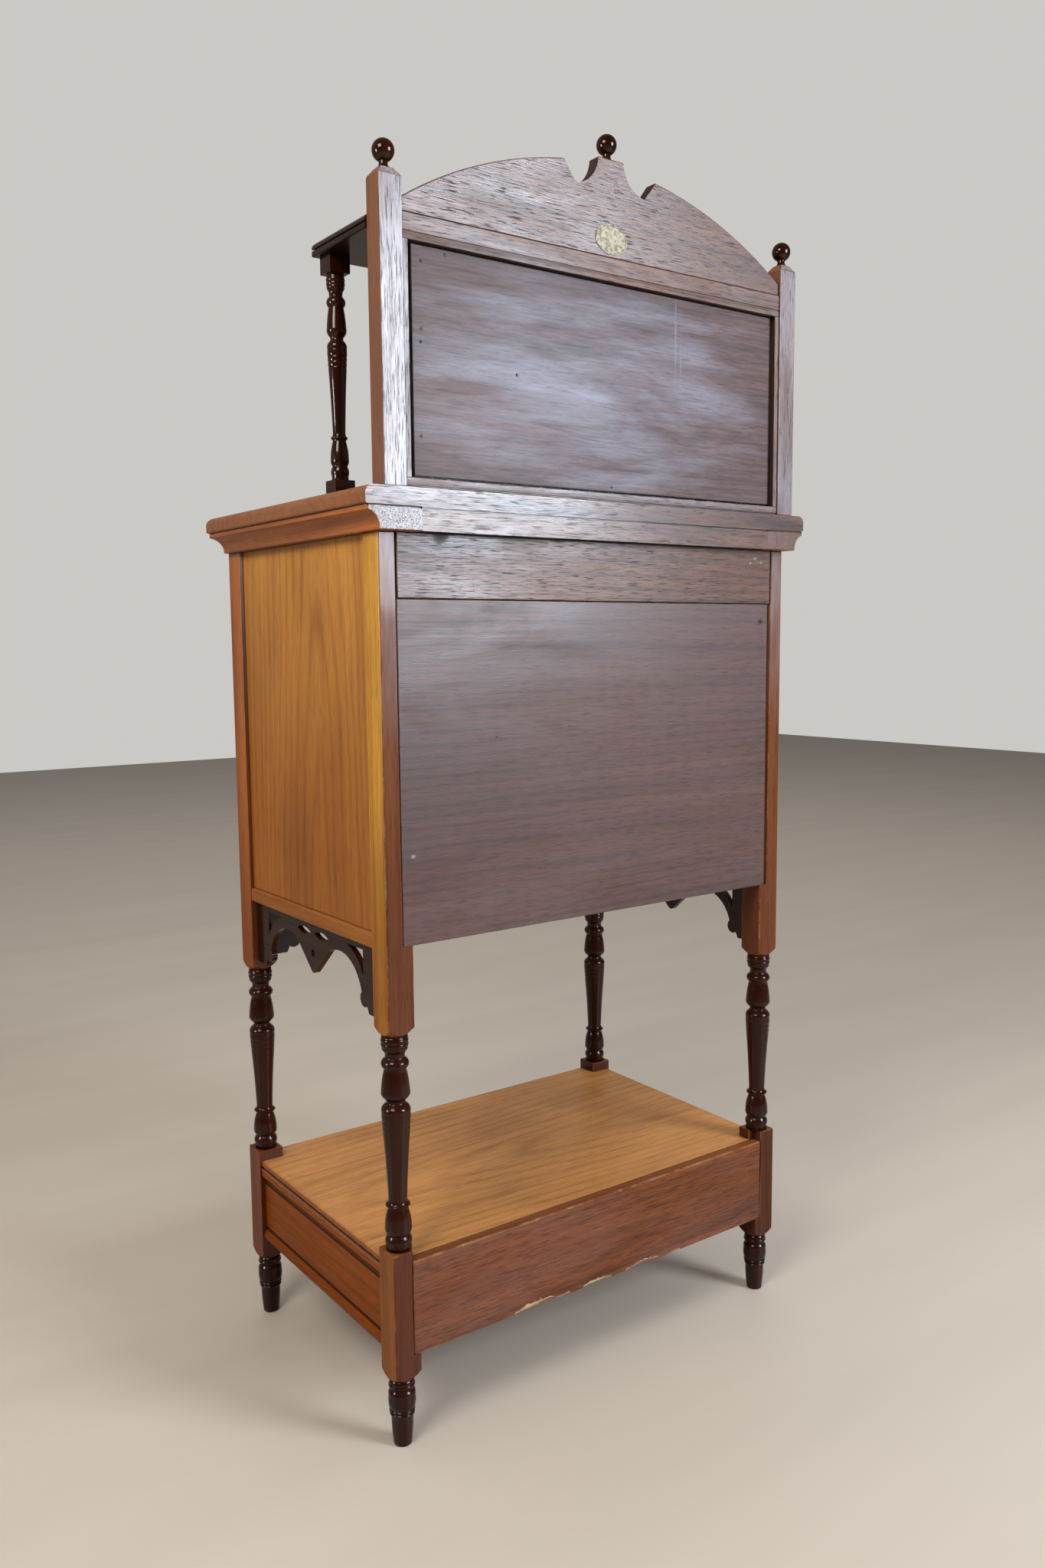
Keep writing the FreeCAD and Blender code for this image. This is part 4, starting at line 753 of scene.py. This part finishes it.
class CABINET_OT_posts(bpy.types.Operator):
    """Corner posts: worn square lengths and crisply turned legs and feet"""
    bl_idname = "cabinet.posts"
    bl_label = "Corner posts"

    def execute(self, context):
        leg = turned_profile(LEG_RADIUS, LEG_CUTS, LEG_TOP - BLOCK_TOP)
        foot = turned_profile(FOOT_RADIUS, FOOT_CUTS, FOOT_TOP)
        nodes = ("front_right_post", "front_left_post", "rear_right_post", "rear_left_post")
        for index, node in enumerate(nodes):
            low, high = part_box(node)
            axis = (low + high) / 2
            inward = -1.0 if low.x > 0 else 1.0
            material = post_finish(node + " varnish", "front" if index < 2 else "post",
                                   (0.37 * index, 0.21 * index, 0.2 + 0.53 * index), inward)
            turned = [spun(profile, Matrix.Translation((axis.x, axis.y, top)))
                      for profile, top in ((leg, LEG_TOP), (foot, FOOT_TOP))]
            dressed(node, joined(self.squares(node), *turned), material)
        return {"FINISHED"}

    def squares(self, node):
        """The post's square lengths, closed where the turned ones are taken out."""
        shape = copied(node)
        lathe = [face for face in shape.faces if self.is_turned(face.calc_center_median().z)]
        bmesh.ops.delete(shape, geom=lathe, context="FACES")
        bmesh.ops.holes_fill(shape, edges=[edge for edge in shape.edges if edge.is_boundary], sides=0)
        bmesh.ops.recalc_face_normals(shape, faces=shape.faces)
        merge_flat(shape)
        ease(shape, wear().post_arris, LONG_POST_ARRIS)
        return shape

    def is_turned(self, level):
        return level < FOOT_TOP - LATHE_MARGIN or BLOCK_TOP + LATHE_MARGIN < level < LEG_TOP - LATHE_MARGIN


class CABINET_OT_cupboard(bpy.types.Operator):
    """Side panels, rails under them, back boards and the bare boards inside"""
    bl_idname = "cabinet.cupboard"
    bl_label = "Cupboard boards"

    def execute(self, context):
        for node, side in (("right_side_panel", 1), ("left_side_panel", -1)):
            middle = (side * 0.29, 0.035 * side, 0.42)
            eased(node, varnished(node + " varnish", "Z", "honey", middle, figure=0.36, deep=0.72, **ARCHED))
        eased("side_bottom_rails", varnished("rail varnish", "Y", "honey", (0.1, 0.5, 0.6), deep=0.7))
        front_rail = varnished("front rail varnish", "X", "door", (0.6, 0.1, 0.9))
        eased("front_frieze_rail", front_rail)
        eased("front_bottom_rail", front_rail)
        eased("back_panel", stained_back(
            "back panel stain", "back", (0.3, 0.2, 0.66), 0.12, "bare", slant=0.03, spots=PANEL_SPOTS,
            bump=0.1, pores=0.35, specular=0.38))
        eased("back_top_rail", stained_back(
            "back rail stain", "frame", (-0.5, 0.2, 1.05), 0.08, "bare", spots=RAIL_SPOTS, specular=0.34,
            reach=FRAME_DUST_AND_SHADE))
        inside = bare("bare wood", "X", (0.2, 0.1, 0.3))
        for node in ("cabinet_bottom", "inner_shelf", "shelf_battens"):
            eased(node, inside)
        return {"FINISHED"}


class CABINET_OT_fretwork(bpy.types.Operator):
    """Pierced fretwork under the cupboard's sides and front"""
    bl_idname = "cabinet.fretwork"
    bl_label = "Fretwork"

    def execute(self, context):
        side = polished("fretwork side polish", "Y", (0.32, 0.5))
        front = polished("fretwork front polish", "X", (0.32, 0.5))
        for node, material in (("right_fretwork", side), ("left_fretwork", side), ("front_fretwork", front)):
            eased(node, material, wear().fine_arris, 0.0)
        return {"FINISHED"}


class CABINET_OT_cornice(bpy.types.Operator):
    """Top board with its nosing, cove mouldings and the plain strip at the back"""
    bl_idname = "cabinet.cornice"
    bl_label = "Cornice"

    def execute(self, context):
        sides = two_sided("cornice side varnish", "Y", "moulding", (0.3, 0.6, 1.0))
        # The back strip's faces other than its back, its underside among them, take the near-black polish:
        # painted shadow under the cornice's overhang
        back = two_sided("cornice back stain and painted shade", "X", "polish", (0.6, 0.2, 1.0))
        self.strip("cornice_side_mouldings", sides)
        self.strip("cornice_back_rail", back)
        eased("cornice_front_moulding", varnished("cornice front varnish", "X", "moulding", (0.5, 0.1, 1.0)))
        eased("top_board", two_sided("top board varnish", "X", "nosing", (0.4, 0.05, 1.0)), wear().post_arris)
        return {"FINISHED"}

    def strip(self, node, material):
        """A piece of the cornice with the open joint under the top board along its back."""
        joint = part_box("cornice_back_rail")[1].x
        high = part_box(node)[1]
        shape = copied(node)
        ease(shape, wear().arris, flush=lambda edge: self.lies_on(edge, joint))
        scored(shape, high.z - JOINT_LOWER, high.z - JOINT_UPPER, BACKWARD, JOINT_DEPTH, high.y - BACK_SKIN)
        dressed(node, shape, material)

    def lies_on(self, edge, joint):
        return all(abs(abs(vert.co.x) - joint) < JOINT_MARGIN for vert in edge.verts)


class CABINET_OT_base(bpy.types.Operator):
    """Lower shelf, moulded side aprons, and the back apron with its chipped lower edge"""
    bl_idname = "cabinet.base"
    bl_label = "Base"

    def execute(self, context):
        self.shelf()
        for node, side in (("base_right_apron", 1), ("base_left_apron", -1)):
            self.side_apron(node, varnished(
                node + " varnish", "Y", "side", (side * 0.29, 0.5, 0.14), deep=0.5, specular=0.06, grime=0.8,
                reach=7.0 * MM, span=(0.11, 0.19)))
        eased("base_front_rail", varnished("base rail varnish", "X", "door", (0.4, 0.1, 0.3)))
        eased("drawer_runners", bare("runner wood", "Y", (0.3, 0.4, 0.1)))
        self.back_apron()
        return {"FINISHED"}

    def shelf(self):
        """The shelf has a quirk along both ends, under its rounded edge."""
        node = "lower_shelf"
        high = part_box(node)[1]
        shape = copied(node)
        ease(shape, wear().arris)
        drop, tall = SHELF_QUIRK
        self.quirk(shape, high.z - drop, tall, high.x)
        dressed(node, shape, varnished(
            "shelf varnish", "X", "shelf", (-0.7, 0.02, 0.20), figure=0.35, specular=0.35, edges="side",
            reach=11.0 * MM, **ARCHED))

    def side_apron(self, node, material):
        """A deep quirk under the apron's upper reed, and one over the bead at its foot."""
        low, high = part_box(node)
        face = max(abs(low.x), abs(high.x)) - REED_STANDS
        shape = copied(node)
        for vert in shape.verts:
            if low.z + BEAD_TALL < vert.co.z < high.z - REED_TALL and abs(vert.co.x) > face - FLATTENED:
                vert.co.x = math.copysign(face, vert.co.x)
        shape.normal_update()
        merge_flat(shape)
        ease(shape, wear().arris)
        drop, tall = UPPER_QUIRK
        self.quirk(shape, high.z - drop, tall, face)
        rise, tall = LOWER_QUIRK
        self.quirk(shape, low.z + rise, tall, face)
        dressed(node, shape, material)

    def quirk(self, shape, level, tall, face):
        """A sunk line along both ends or sides of a shape, painted dark as shade."""
        for side in (-1, 1):
            scored(shape, level, level + tall, Vector((side, 0, 0)), wear().quirk, face - SIDE_SKIN)

    def back_apron(self):
        """The lower edge at the back has slivers split off it."""
        node = "base_back_apron"
        low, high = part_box(node)
        shape = copied(node)
        ease(shape, wear().apron_arris)
        marks = face_marks(shape, "chip")
        strip_top = low.z + CHIP_STRIP
        step = (high.x - low.x) / CHIP_STEPS
        for index in range(1, CHIP_STEPS):
            sliced(shape, (low.x + step * index, 0, 0), (1, 0, 0))
        sliced(shape, (0, 0, strip_top), (0, 0, 1))
        chance = random.Random(CHIP_SEED)
        chips = [self.chip(low.x + step * index, chance) for index in range(CHIP_STEPS + 1)]
        for vert in shape.verts:
            chip = chips[round((vert.co.x - low.x) / step)]
            if vert.co.y < high.y - CHIP_REACH:
                continue
            if abs(vert.co.z - strip_top) < CHIP_MARGIN:
                vert.co.z = low.z + CHIP_START + chip
            elif vert.co.z < strip_top:
                vert.co.y -= min(1.0, chip / CHIP_FULL) * wear().chip_depth
        for face in shape.faces:
            share = min(chips[round((vert.co.x - low.x) / step)] for vert in face.verts)
            if share > CHIP_LEAST and face.normal.y > CHIP_FACING and face.calc_center_median().z < strip_top:
                face[marks] = CHIP_MARK
        dressed(node, shape, stained_back(
            "base back stain", "apron", (0.7, 0.2, 0.15), 0.06, "apron", edge=rgba(colours().worn, 0.8),
            specular=0.2, coat=0.0, reach=2.5 * MM, pores=0.5))

    def chip(self, x, chance):
        """Height of the sliver that is split off the lower edge at a place along it."""
        heights = [height * max(0.0, 1.0 - abs(x / MM - place) / half) ** CHIP_TAPER
                   for place, half, height in SLIVERS]
        return max(heights) * chance.uniform(*CHIP_VARIES) * MM


class CABINET_OT_gallery(bpy.types.Operator):
    """Gallery frame: posts, rails, stiles, back board and the arched pediment"""
    bl_idname = "cabinet.gallery"
    bl_label = "Gallery frame"

    def execute(self, context):
        for index, node in enumerate(("gallery_right_post", "gallery_left_post")):
            middle = (0.5 * index, 0.2, 0.8 + 0.1 * index)
            eased(node, two_sided(node + " varnish", "Z", "gallery", middle, 0.6))
        self.lined_rail("gallery_bottom_rail", BOTTOM_RAIL_RISE, stained_back(
            "gallery ledge stain", "frame", (0.3, 0.2, 1.0), 0.4, "polish", reach=FRAME_DUST_AND_SHADE))
        eased("gallery_stiles", stained_back(
            "gallery stile stain", "frame", (0.2, 0.4, 0.9), 0.3, "polish", "Z", reach=FRAME_DUST_AND_SHADE))
        # The board's bluish haze near its middle is partly painted sheen
        eased("gallery_back_board", stained_back(
            "gallery board stain", "board", (-0.6, 0.2, 1.2), 0.55, "polish", slant=0.1,
            near=(0.03, 1.185, 0.24, 0.12), roughness=(0.54, 0.7), spots=BOARD_SPOTS, bump=0.2, pores=0.35,
            specular=0.3, haze_tone="board_bloom"))
        eased("pediment", stained_back(
            "pediment stain", "frame", (0.7, 0.2, 1.2), 0.25, "polish", slant=-0.05, roughness=(0.2, 0.42),
            coat=0.0, specular=0.5, other_roughness=0.8, reach=9.0 * MM), wear().post_arris)
        self.lined_rail("gallery_top_rail", TOP_RAIL_RISE, stained_back(
            "gallery rail stain", "frame", (0.6, 0.2, 1.4), 0.2, "polish", reach=FRAME_DUST_AND_SHADE,
            roughness=(0.4, 0.62)))
        return {"FINISHED"}

    def lined_rail(self, node, rise, material):
        """A rail with a line along its back, at a height over its lower edge."""
        low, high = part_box(node)
        line = low.z + rise
        shape = copied(node)
        ease(shape, wear().arris)
        scored(shape, line, line + RAIL_LINE, BACKWARD, wear().groove, high.y - BACK_SKIN)
        dressed(node, shape, material)


class CABINET_OT_gallery_shelf(bpy.types.Operator):
    """Small shelf of the gallery and the two turned spindles that carry it"""
    bl_idname = "cabinet.gallery_shelf"
    bl_label = "Gallery shelf"

    def execute(self, context):
        eased("gallery_shelf", polished("gallery shelf polish", "X", (0.24, 0.38)), wear().fine_arris)
        node = "gallery_spindles"
        low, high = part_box(node)
        half = (high.y - low.y) / 2
        profile = turned_profile(LEG_RADIUS, LEG_CUTS, SPINDLE_UPPER - SPINDLE_LOWER, SPINDLE_SCALE)
        shapes = []
        for side in (-1, 1):
            x, y = side * (high.x - half), low.y + half
            shapes.append(spun(profile, Matrix.Translation((x, y, SPINDLE_UPPER))))
            for bottom, top in ((low.z, SPINDLE_LOWER), (SPINDLE_UPPER, high.z)):
                shapes.append(block(Vector((x - half, y - half, bottom)), Vector((x + half, y + half, top)),
                                    wear().arris))
        dressed(node, joined(*shapes), polished("spindle polish", "Z"))
        return {"FINISHED"}


class CABINET_OT_finials(bpy.types.Operator):
    """Ball finials on short necks"""
    bl_idname = "cabinet.finials"
    bl_label = "Finials"

    def execute(self, context):
        node = "finials"
        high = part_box(node)[1]
        post_low, post_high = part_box("gallery_right_post")
        arch_low, arch_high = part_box("pediment")
        side_x = high.x - BALL_RADIUS * MM
        side_y = (post_low.y + post_high.y) / 2
        places = ((side_x, side_y, post_high.z), (-side_x, side_y, post_high.z),
                  (0.0, (arch_low.y + arch_high.y) / 2, arch_high.z))
        tall = BALL_HEIGHT + BALL_RADIUS
        profile = [(radius * MM, (tall - height) * MM) for radius, height in self.outline()]
        shapes = [spun(profile, Matrix.Translation((x, y, z + tall * MM))) for x, y, z in places]
        dressed(node, joined(*shapes), polished("finial polish", "Z", (0.10, 0.2)))
        return {"FINISHED"}

    def outline(self):
        """Points (radius, height) in millimetres from the top of the ball down to the foot of the neck."""
        neck_top = BALL_HEIGHT - math.sqrt(BALL_RADIUS ** 2 - NECK_RADIUS ** 2)
        sweep = math.pi - math.asin(NECK_RADIUS / BALL_RADIUS)
        angles = [sweep * step / BALL_STEPS for step in range(BALL_STEPS + 1)]
        ball = [(BALL_RADIUS * math.sin(angle), BALL_HEIGHT + BALL_RADIUS * math.cos(angle))
                for angle in angles]
        neck = [(NECK_RADIUS, neck_top), (NECK_RADIUS, neck_top * 0.6), (NECK_RADIUS * 1.12, neck_top * 0.3)]
        return ball + neck + [(NECK_FOOT, 0.0)]


class CABINET_OT_mirror(bpy.types.Operator):
    """Silvered glass, which keeps its CAD mesh, and the bead that holds it"""
    bl_idname = "cabinet.mirror"
    bl_label = "Mirror"

    def execute(self, context):
        glass = frame["nodes"]["mirror_glass"].data
        glass.materials.clear()
        glass.materials.append(silvered("silvered glass"))
        eased("mirror_bead", polished("bead polish", "X", (0.25, 0.4)), wear().fine_arris)
        return {"FINISHED"}


class CABINET_OT_doors(bpy.types.Operator):
    """Framed doors with fielded panels"""
    bl_idname = "cabinet.doors"
    bl_label = "Doors"

    def execute(self, context):
        for index, side in enumerate(("right", "left")):
            middle = (0.31 * index, 0.17, 0.2 + 0.43 * index)
            field = (0.13 - 0.26 * index, -0.18, 0.40)
            for kind, grain in (("stile", "Z"), ("rail", "X")):
                eased(f"{side}_door_{kind}s", varnished(f"{side} {kind} varnish", grain, "door", middle))
            eased(side + "_door_panel", varnished(
                side + " panel varnish", "Z", "honey", field, figure=0.62, **ARCHED))
        return {"FINISHED"}


class CABINET_OT_fittings(bpy.types.Operator):
    """Hinges, lock, key, escutcheon and barrel bolt"""
    bl_idname = "cabinet.fittings"
    bl_label = "Fittings"

    def execute(self, context):
        tones = colours()
        brass = metal("aged brass", tones.brass, tones.tarnish, (0.26, 0.5))
        iron = metal("dull iron", tones.iron, rgba(tones.iron, 0.45), (0.4, 0.6))
        for node in ("right_hinge_post_leaves", "left_hinge_post_leaves", "right_hinge_door_leaves",
                     "left_hinge_door_leaves", "escutcheon", "door_key", "left_bolt_plate", "left_bolt_rod"):
            eased(node, brass, FITTING_ARRIS, SHORT_ARRIS)
        for node in ("lock_case", "lock_bolt"):
            eased(node, iron, wear().fine_arris, SHORT_ARRIS)
        return {"FINISHED"}


class CABINET_OT_drawer(bpy.types.Operator):
    """Drawer in the base, with turned knobs"""
    bl_idname = "cabinet.drawer"
    bl_label = "Drawer"

    def execute(self, context):
        eased("drawer_front", varnished(
            "drawer front varnish", "X", "honey", (-0.6, -0.18, 0.15), figure=0.6, **ARCHED))
        eased("drawer_sides_and_back", bare("drawer side wood", "Y", (0.2, 0.5, 0.1)))
        eased("drawer_bottom", bare("drawer bottom wood", "X", (0.5, 0.2, 0.1)))
        node = "drawer_knobs"
        low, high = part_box(node)
        reach = (high.z - low.z) / 2
        profile = turned_profile(KNOB_RADIUS, KNOB_CUTS, high.y - low.y)
        forward = Matrix.Rotation(math.radians(-90.0), 4, "X")
        places = [Matrix.Translation((side * (high.x - reach), high.y, low.z + reach)) for side in (-1, 1)]
        shapes = [spun(profile, place @ forward) for place in places]
        dressed(node, joined(*shapes), polished("knob polish", "Y"))
        return {"FINISHED"}


class CABINET_OT_nails(bpy.types.Operator):
    """Nail heads along the gallery's back board"""
    bl_idname = "cabinet.nails"
    bl_label = "Nails"

    def execute(self, context):
        shape = bmesh.new()
        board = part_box("gallery_back_board")[1].y
        flatten = Matrix.Diagonal((1.0, NAIL_FLATTENING, 1.0, 1.0))
        for x, z in BOARD_NAILS:
            bmesh.ops.create_uvsphere(shape, u_segments=12, v_segments=8, radius=wear().nail_radius,
                                      matrix=Matrix.Translation((x * MM, board, z * MM)) @ flatten)
        iron = metal("nail iron", rgba(colours().iron, 0.3), rgba(colours().iron, 0.1), (0.5, 0.7))
        finished(shape, "back_nails", "cabinet", iron)
        return {"FINISHED"}


class CABINET_OT_plate(bpy.types.Operator):
    """Bare oval plate with a raised rim on the back of the pediment"""
    bl_idname = "cabinet.plate"
    bl_label = "Oval plate"

    def execute(self, context):
        node = "oval_plate"
        low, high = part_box(node)
        middle = (low + high) / 2
        shape = bmesh.new()
        flat = Matrix.Translation((middle.x, low.y, middle.z)) @ Matrix.Rotation(math.radians(-90.0), 4, "X")
        size = Matrix.Diagonal(((high.x - low.x) / 2, (high.z - low.z) / 2, 1.0, 1.0))
        bmesh.ops.create_circle(shape, cap_ends=True, segments=PLATE_SEGMENTS, radius=1.0, matrix=flat @ size)
        bmesh.ops.recalc_face_normals(shape, faces=shape.faces)
        extruded(shape, shape.faces[:], (0, high.y - low.y, 0))
        bmesh.ops.recalc_face_normals(shape, faces=shape.faces)
        face = max(shape.faces, key=lambda item: item.calc_center_median().y)
        for thickness, depth in ((PLATE_RIM, 0.0), (PLATE_SLOPE, -PLATE_SUNK)):
            bmesh.ops.inset_region(
                shape, faces=[face], thickness=thickness, depth=depth, use_even_offset=True)
        gilt = colours().gilt
        dressed(node, shape, metal("pale gilt", gilt, rgba(gilt, 0.55), (0.5, 0.75), 220.0))
        return {"FINISHED"}


class CABINET_OT_stage(bpy.types.Operator):
    """Plain floor, pale surroundings, soft lights and the camera"""
    bl_idname = "cabinet.stage"
    bl_label = "Stage"

    def execute(self, context):
        self.floor()
        self.surroundings()
        self.light("high window", (-1.25, 2.5, 1.6), (0.1, 0.2, 1.1), (0.9, 1.2), 112.0, (0.78, 0.88, 1.0))
        self.light("left softbox", (1.8, 0.9, 2.2), (0.25, 0.0, 0.8), (0.9, 0.9), 42.0, (1.0, 0.97, 0.92))
        ceiling = self.light("ceiling", (0.0, 0.0, 4.2), ORIGIN, (10.0, 10.0), 245.0, (1.0, 0.98, 0.95))
        ceiling.visible_glossy = False
        glint = self.light(
            "side window", (2.17, -0.28, 1.1), (0.0, 0.1, 0.9), (0.35, 0.6), 26.0, (1.0, 0.98, 0.95))
        glint.visible_diffuse = False
        self.camera()
        return {"FINISHED"}

    def floor(self):
        shape = bmesh.new()
        bmesh.ops.create_grid(shape, x_segments=8, y_segments=8, size=stage().floor_size / 2)
        mesh = bpy.data.meshes.new("floor")
        shape.to_mesh(mesh)
        shape.free()
        finish = Finish("plain floor", roughness=0.45)
        streaks = finish.noise(finish.place((0.9, 7.0, 1.0), turn=(0, 0, math.radians(52.0))), detail=4.0)
        mesh.materials.append(finish.surfaced(Base_Color=finish.mix(
            finish.between(streaks, 0.3, 0.7), rgba(stage().floor), rgba(stage().floor, 0.93))))
        floor = bpy.data.objects.new("floor", mesh)
        bpy.context.scene.collection.objects.link(floor)

    def surroundings(self):
        """A pale wall all round; it lights the object more from the front's side than from the camera's."""
        world = bpy.data.worlds.new("pale room")
        graph = Graph(world)
        wall = rgba(stage().wall)
        seen = graph.tree.nodes["Background"]
        graph.put(seen.inputs["Color"], wall)
        fade = graph.between(graph.part(graph.direction, "Y"), -0.7, 0.3, 0.55, 0.1)
        glow = graph.node("Background", {"Color": wall, "Strength": fade})
        camera_ray = graph.node("LightPath", {}).outputs["Is Camera Ray"]
        choice = graph.node("MixShader", {"Fac": camera_ray, 1: glow.outputs[0], 2: seen.outputs[0]})
        graph.put(graph.tree.nodes["World Output"].inputs["Surface"], choice.outputs[0])
        bpy.context.scene.world = world
        bpy.context.scene.view_settings.view_transform = "Standard"

    def light(self, name, place, target, size, power, tint):
        lamp = bpy.data.lights.new(name, "AREA")
        lamp.shape = "RECTANGLE"
        lamp.size, lamp.size_y = size
        lamp.energy = power
        lamp.color = tint
        holder = bpy.data.objects.new(name, lamp)
        holder.location = place
        holder.rotation_euler = (Vector(target) - Vector(place)).to_track_quat("-Z", "Y").to_euler()
        holder.visible_camera = False
        bpy.context.scene.collection.objects.link(holder)
        return holder

    def camera(self):
        settings = stage()
        view = bpy.data.cameras.new("photograph")
        view.sensor_fit = "AUTO"
        view.sensor_width = 36.0
        view.lens = settings.lens
        view.clip_start = 0.05
        view.clip_end = 100.0
        holder = bpy.data.objects.new("photograph", view)
        holder.location = settings.eye
        aim = Vector(settings.gaze).to_track_quat("-Z", "Y")
        holder.rotation_mode = "QUATERNION"
        holder.rotation_quaternion = aim @ Quaternion((0.0, 0.0, 1.0), settings.roll)
        bpy.context.scene.collection.objects.link(holder)
        bpy.context.scene.camera = holder


PROPERTY_GROUPS = {
    "cabinet_wear": CabinetWear,
    "cabinet_colours": CabinetColours,
    "cabinet_stage": CabinetStage,
}
OPERATORS = (
    CABINET_OT_posts, CABINET_OT_cupboard, CABINET_OT_fretwork, CABINET_OT_cornice, CABINET_OT_base,
    CABINET_OT_gallery, CABINET_OT_gallery_shelf, CABINET_OT_finials, CABINET_OT_mirror, CABINET_OT_doors,
    CABINET_OT_fittings, CABINET_OT_drawer, CABINET_OT_nails, CABINET_OT_plate, CABINET_OT_stage,
)


class CABINET_PT_looks(bpy.types.Panel):
    """Pieces and settings of the cabinet"""
    bl_idname = "CABINET_PT_looks"
    bl_label = "Side cabinet"
    bl_space_type = "VIEW_3D"
    bl_region_type = "UI"
    bl_category = "Cabinet"

    def draw(self, context):
        for operator in OPERATORS:
            self.layout.operator(operator.bl_idname)
        for name, group in PROPERTY_GROUPS.items():
            box = self.layout.box()
            for field in group.__annotations__:
                box.prop(getattr(context.scene, name), field)


def register():
    for name, group in PROPERTY_GROUPS.items():
        bpy.utils.register_class(group)
        setattr(bpy.types.Scene, name, bpy.props.PointerProperty(type=group))
    for operator in OPERATORS:
        bpy.utils.register_class(operator)
    bpy.utils.register_class(CABINET_PT_looks)


def unregister():
    bpy.utils.unregister_class(CABINET_PT_looks)
    for operator in reversed(OPERATORS):
        bpy.utils.unregister_class(operator)
    for name, group in PROPERTY_GROUPS.items():
        delattr(bpy.types.Scene, name)
        bpy.utils.unregister_class(group)


def main():
    register()
    for operator in OPERATORS:
        group, name = operator.bl_idname.split(".")
        getattr(getattr(bpy.ops, group), name)()


if __name__ == "__main__":
    main()
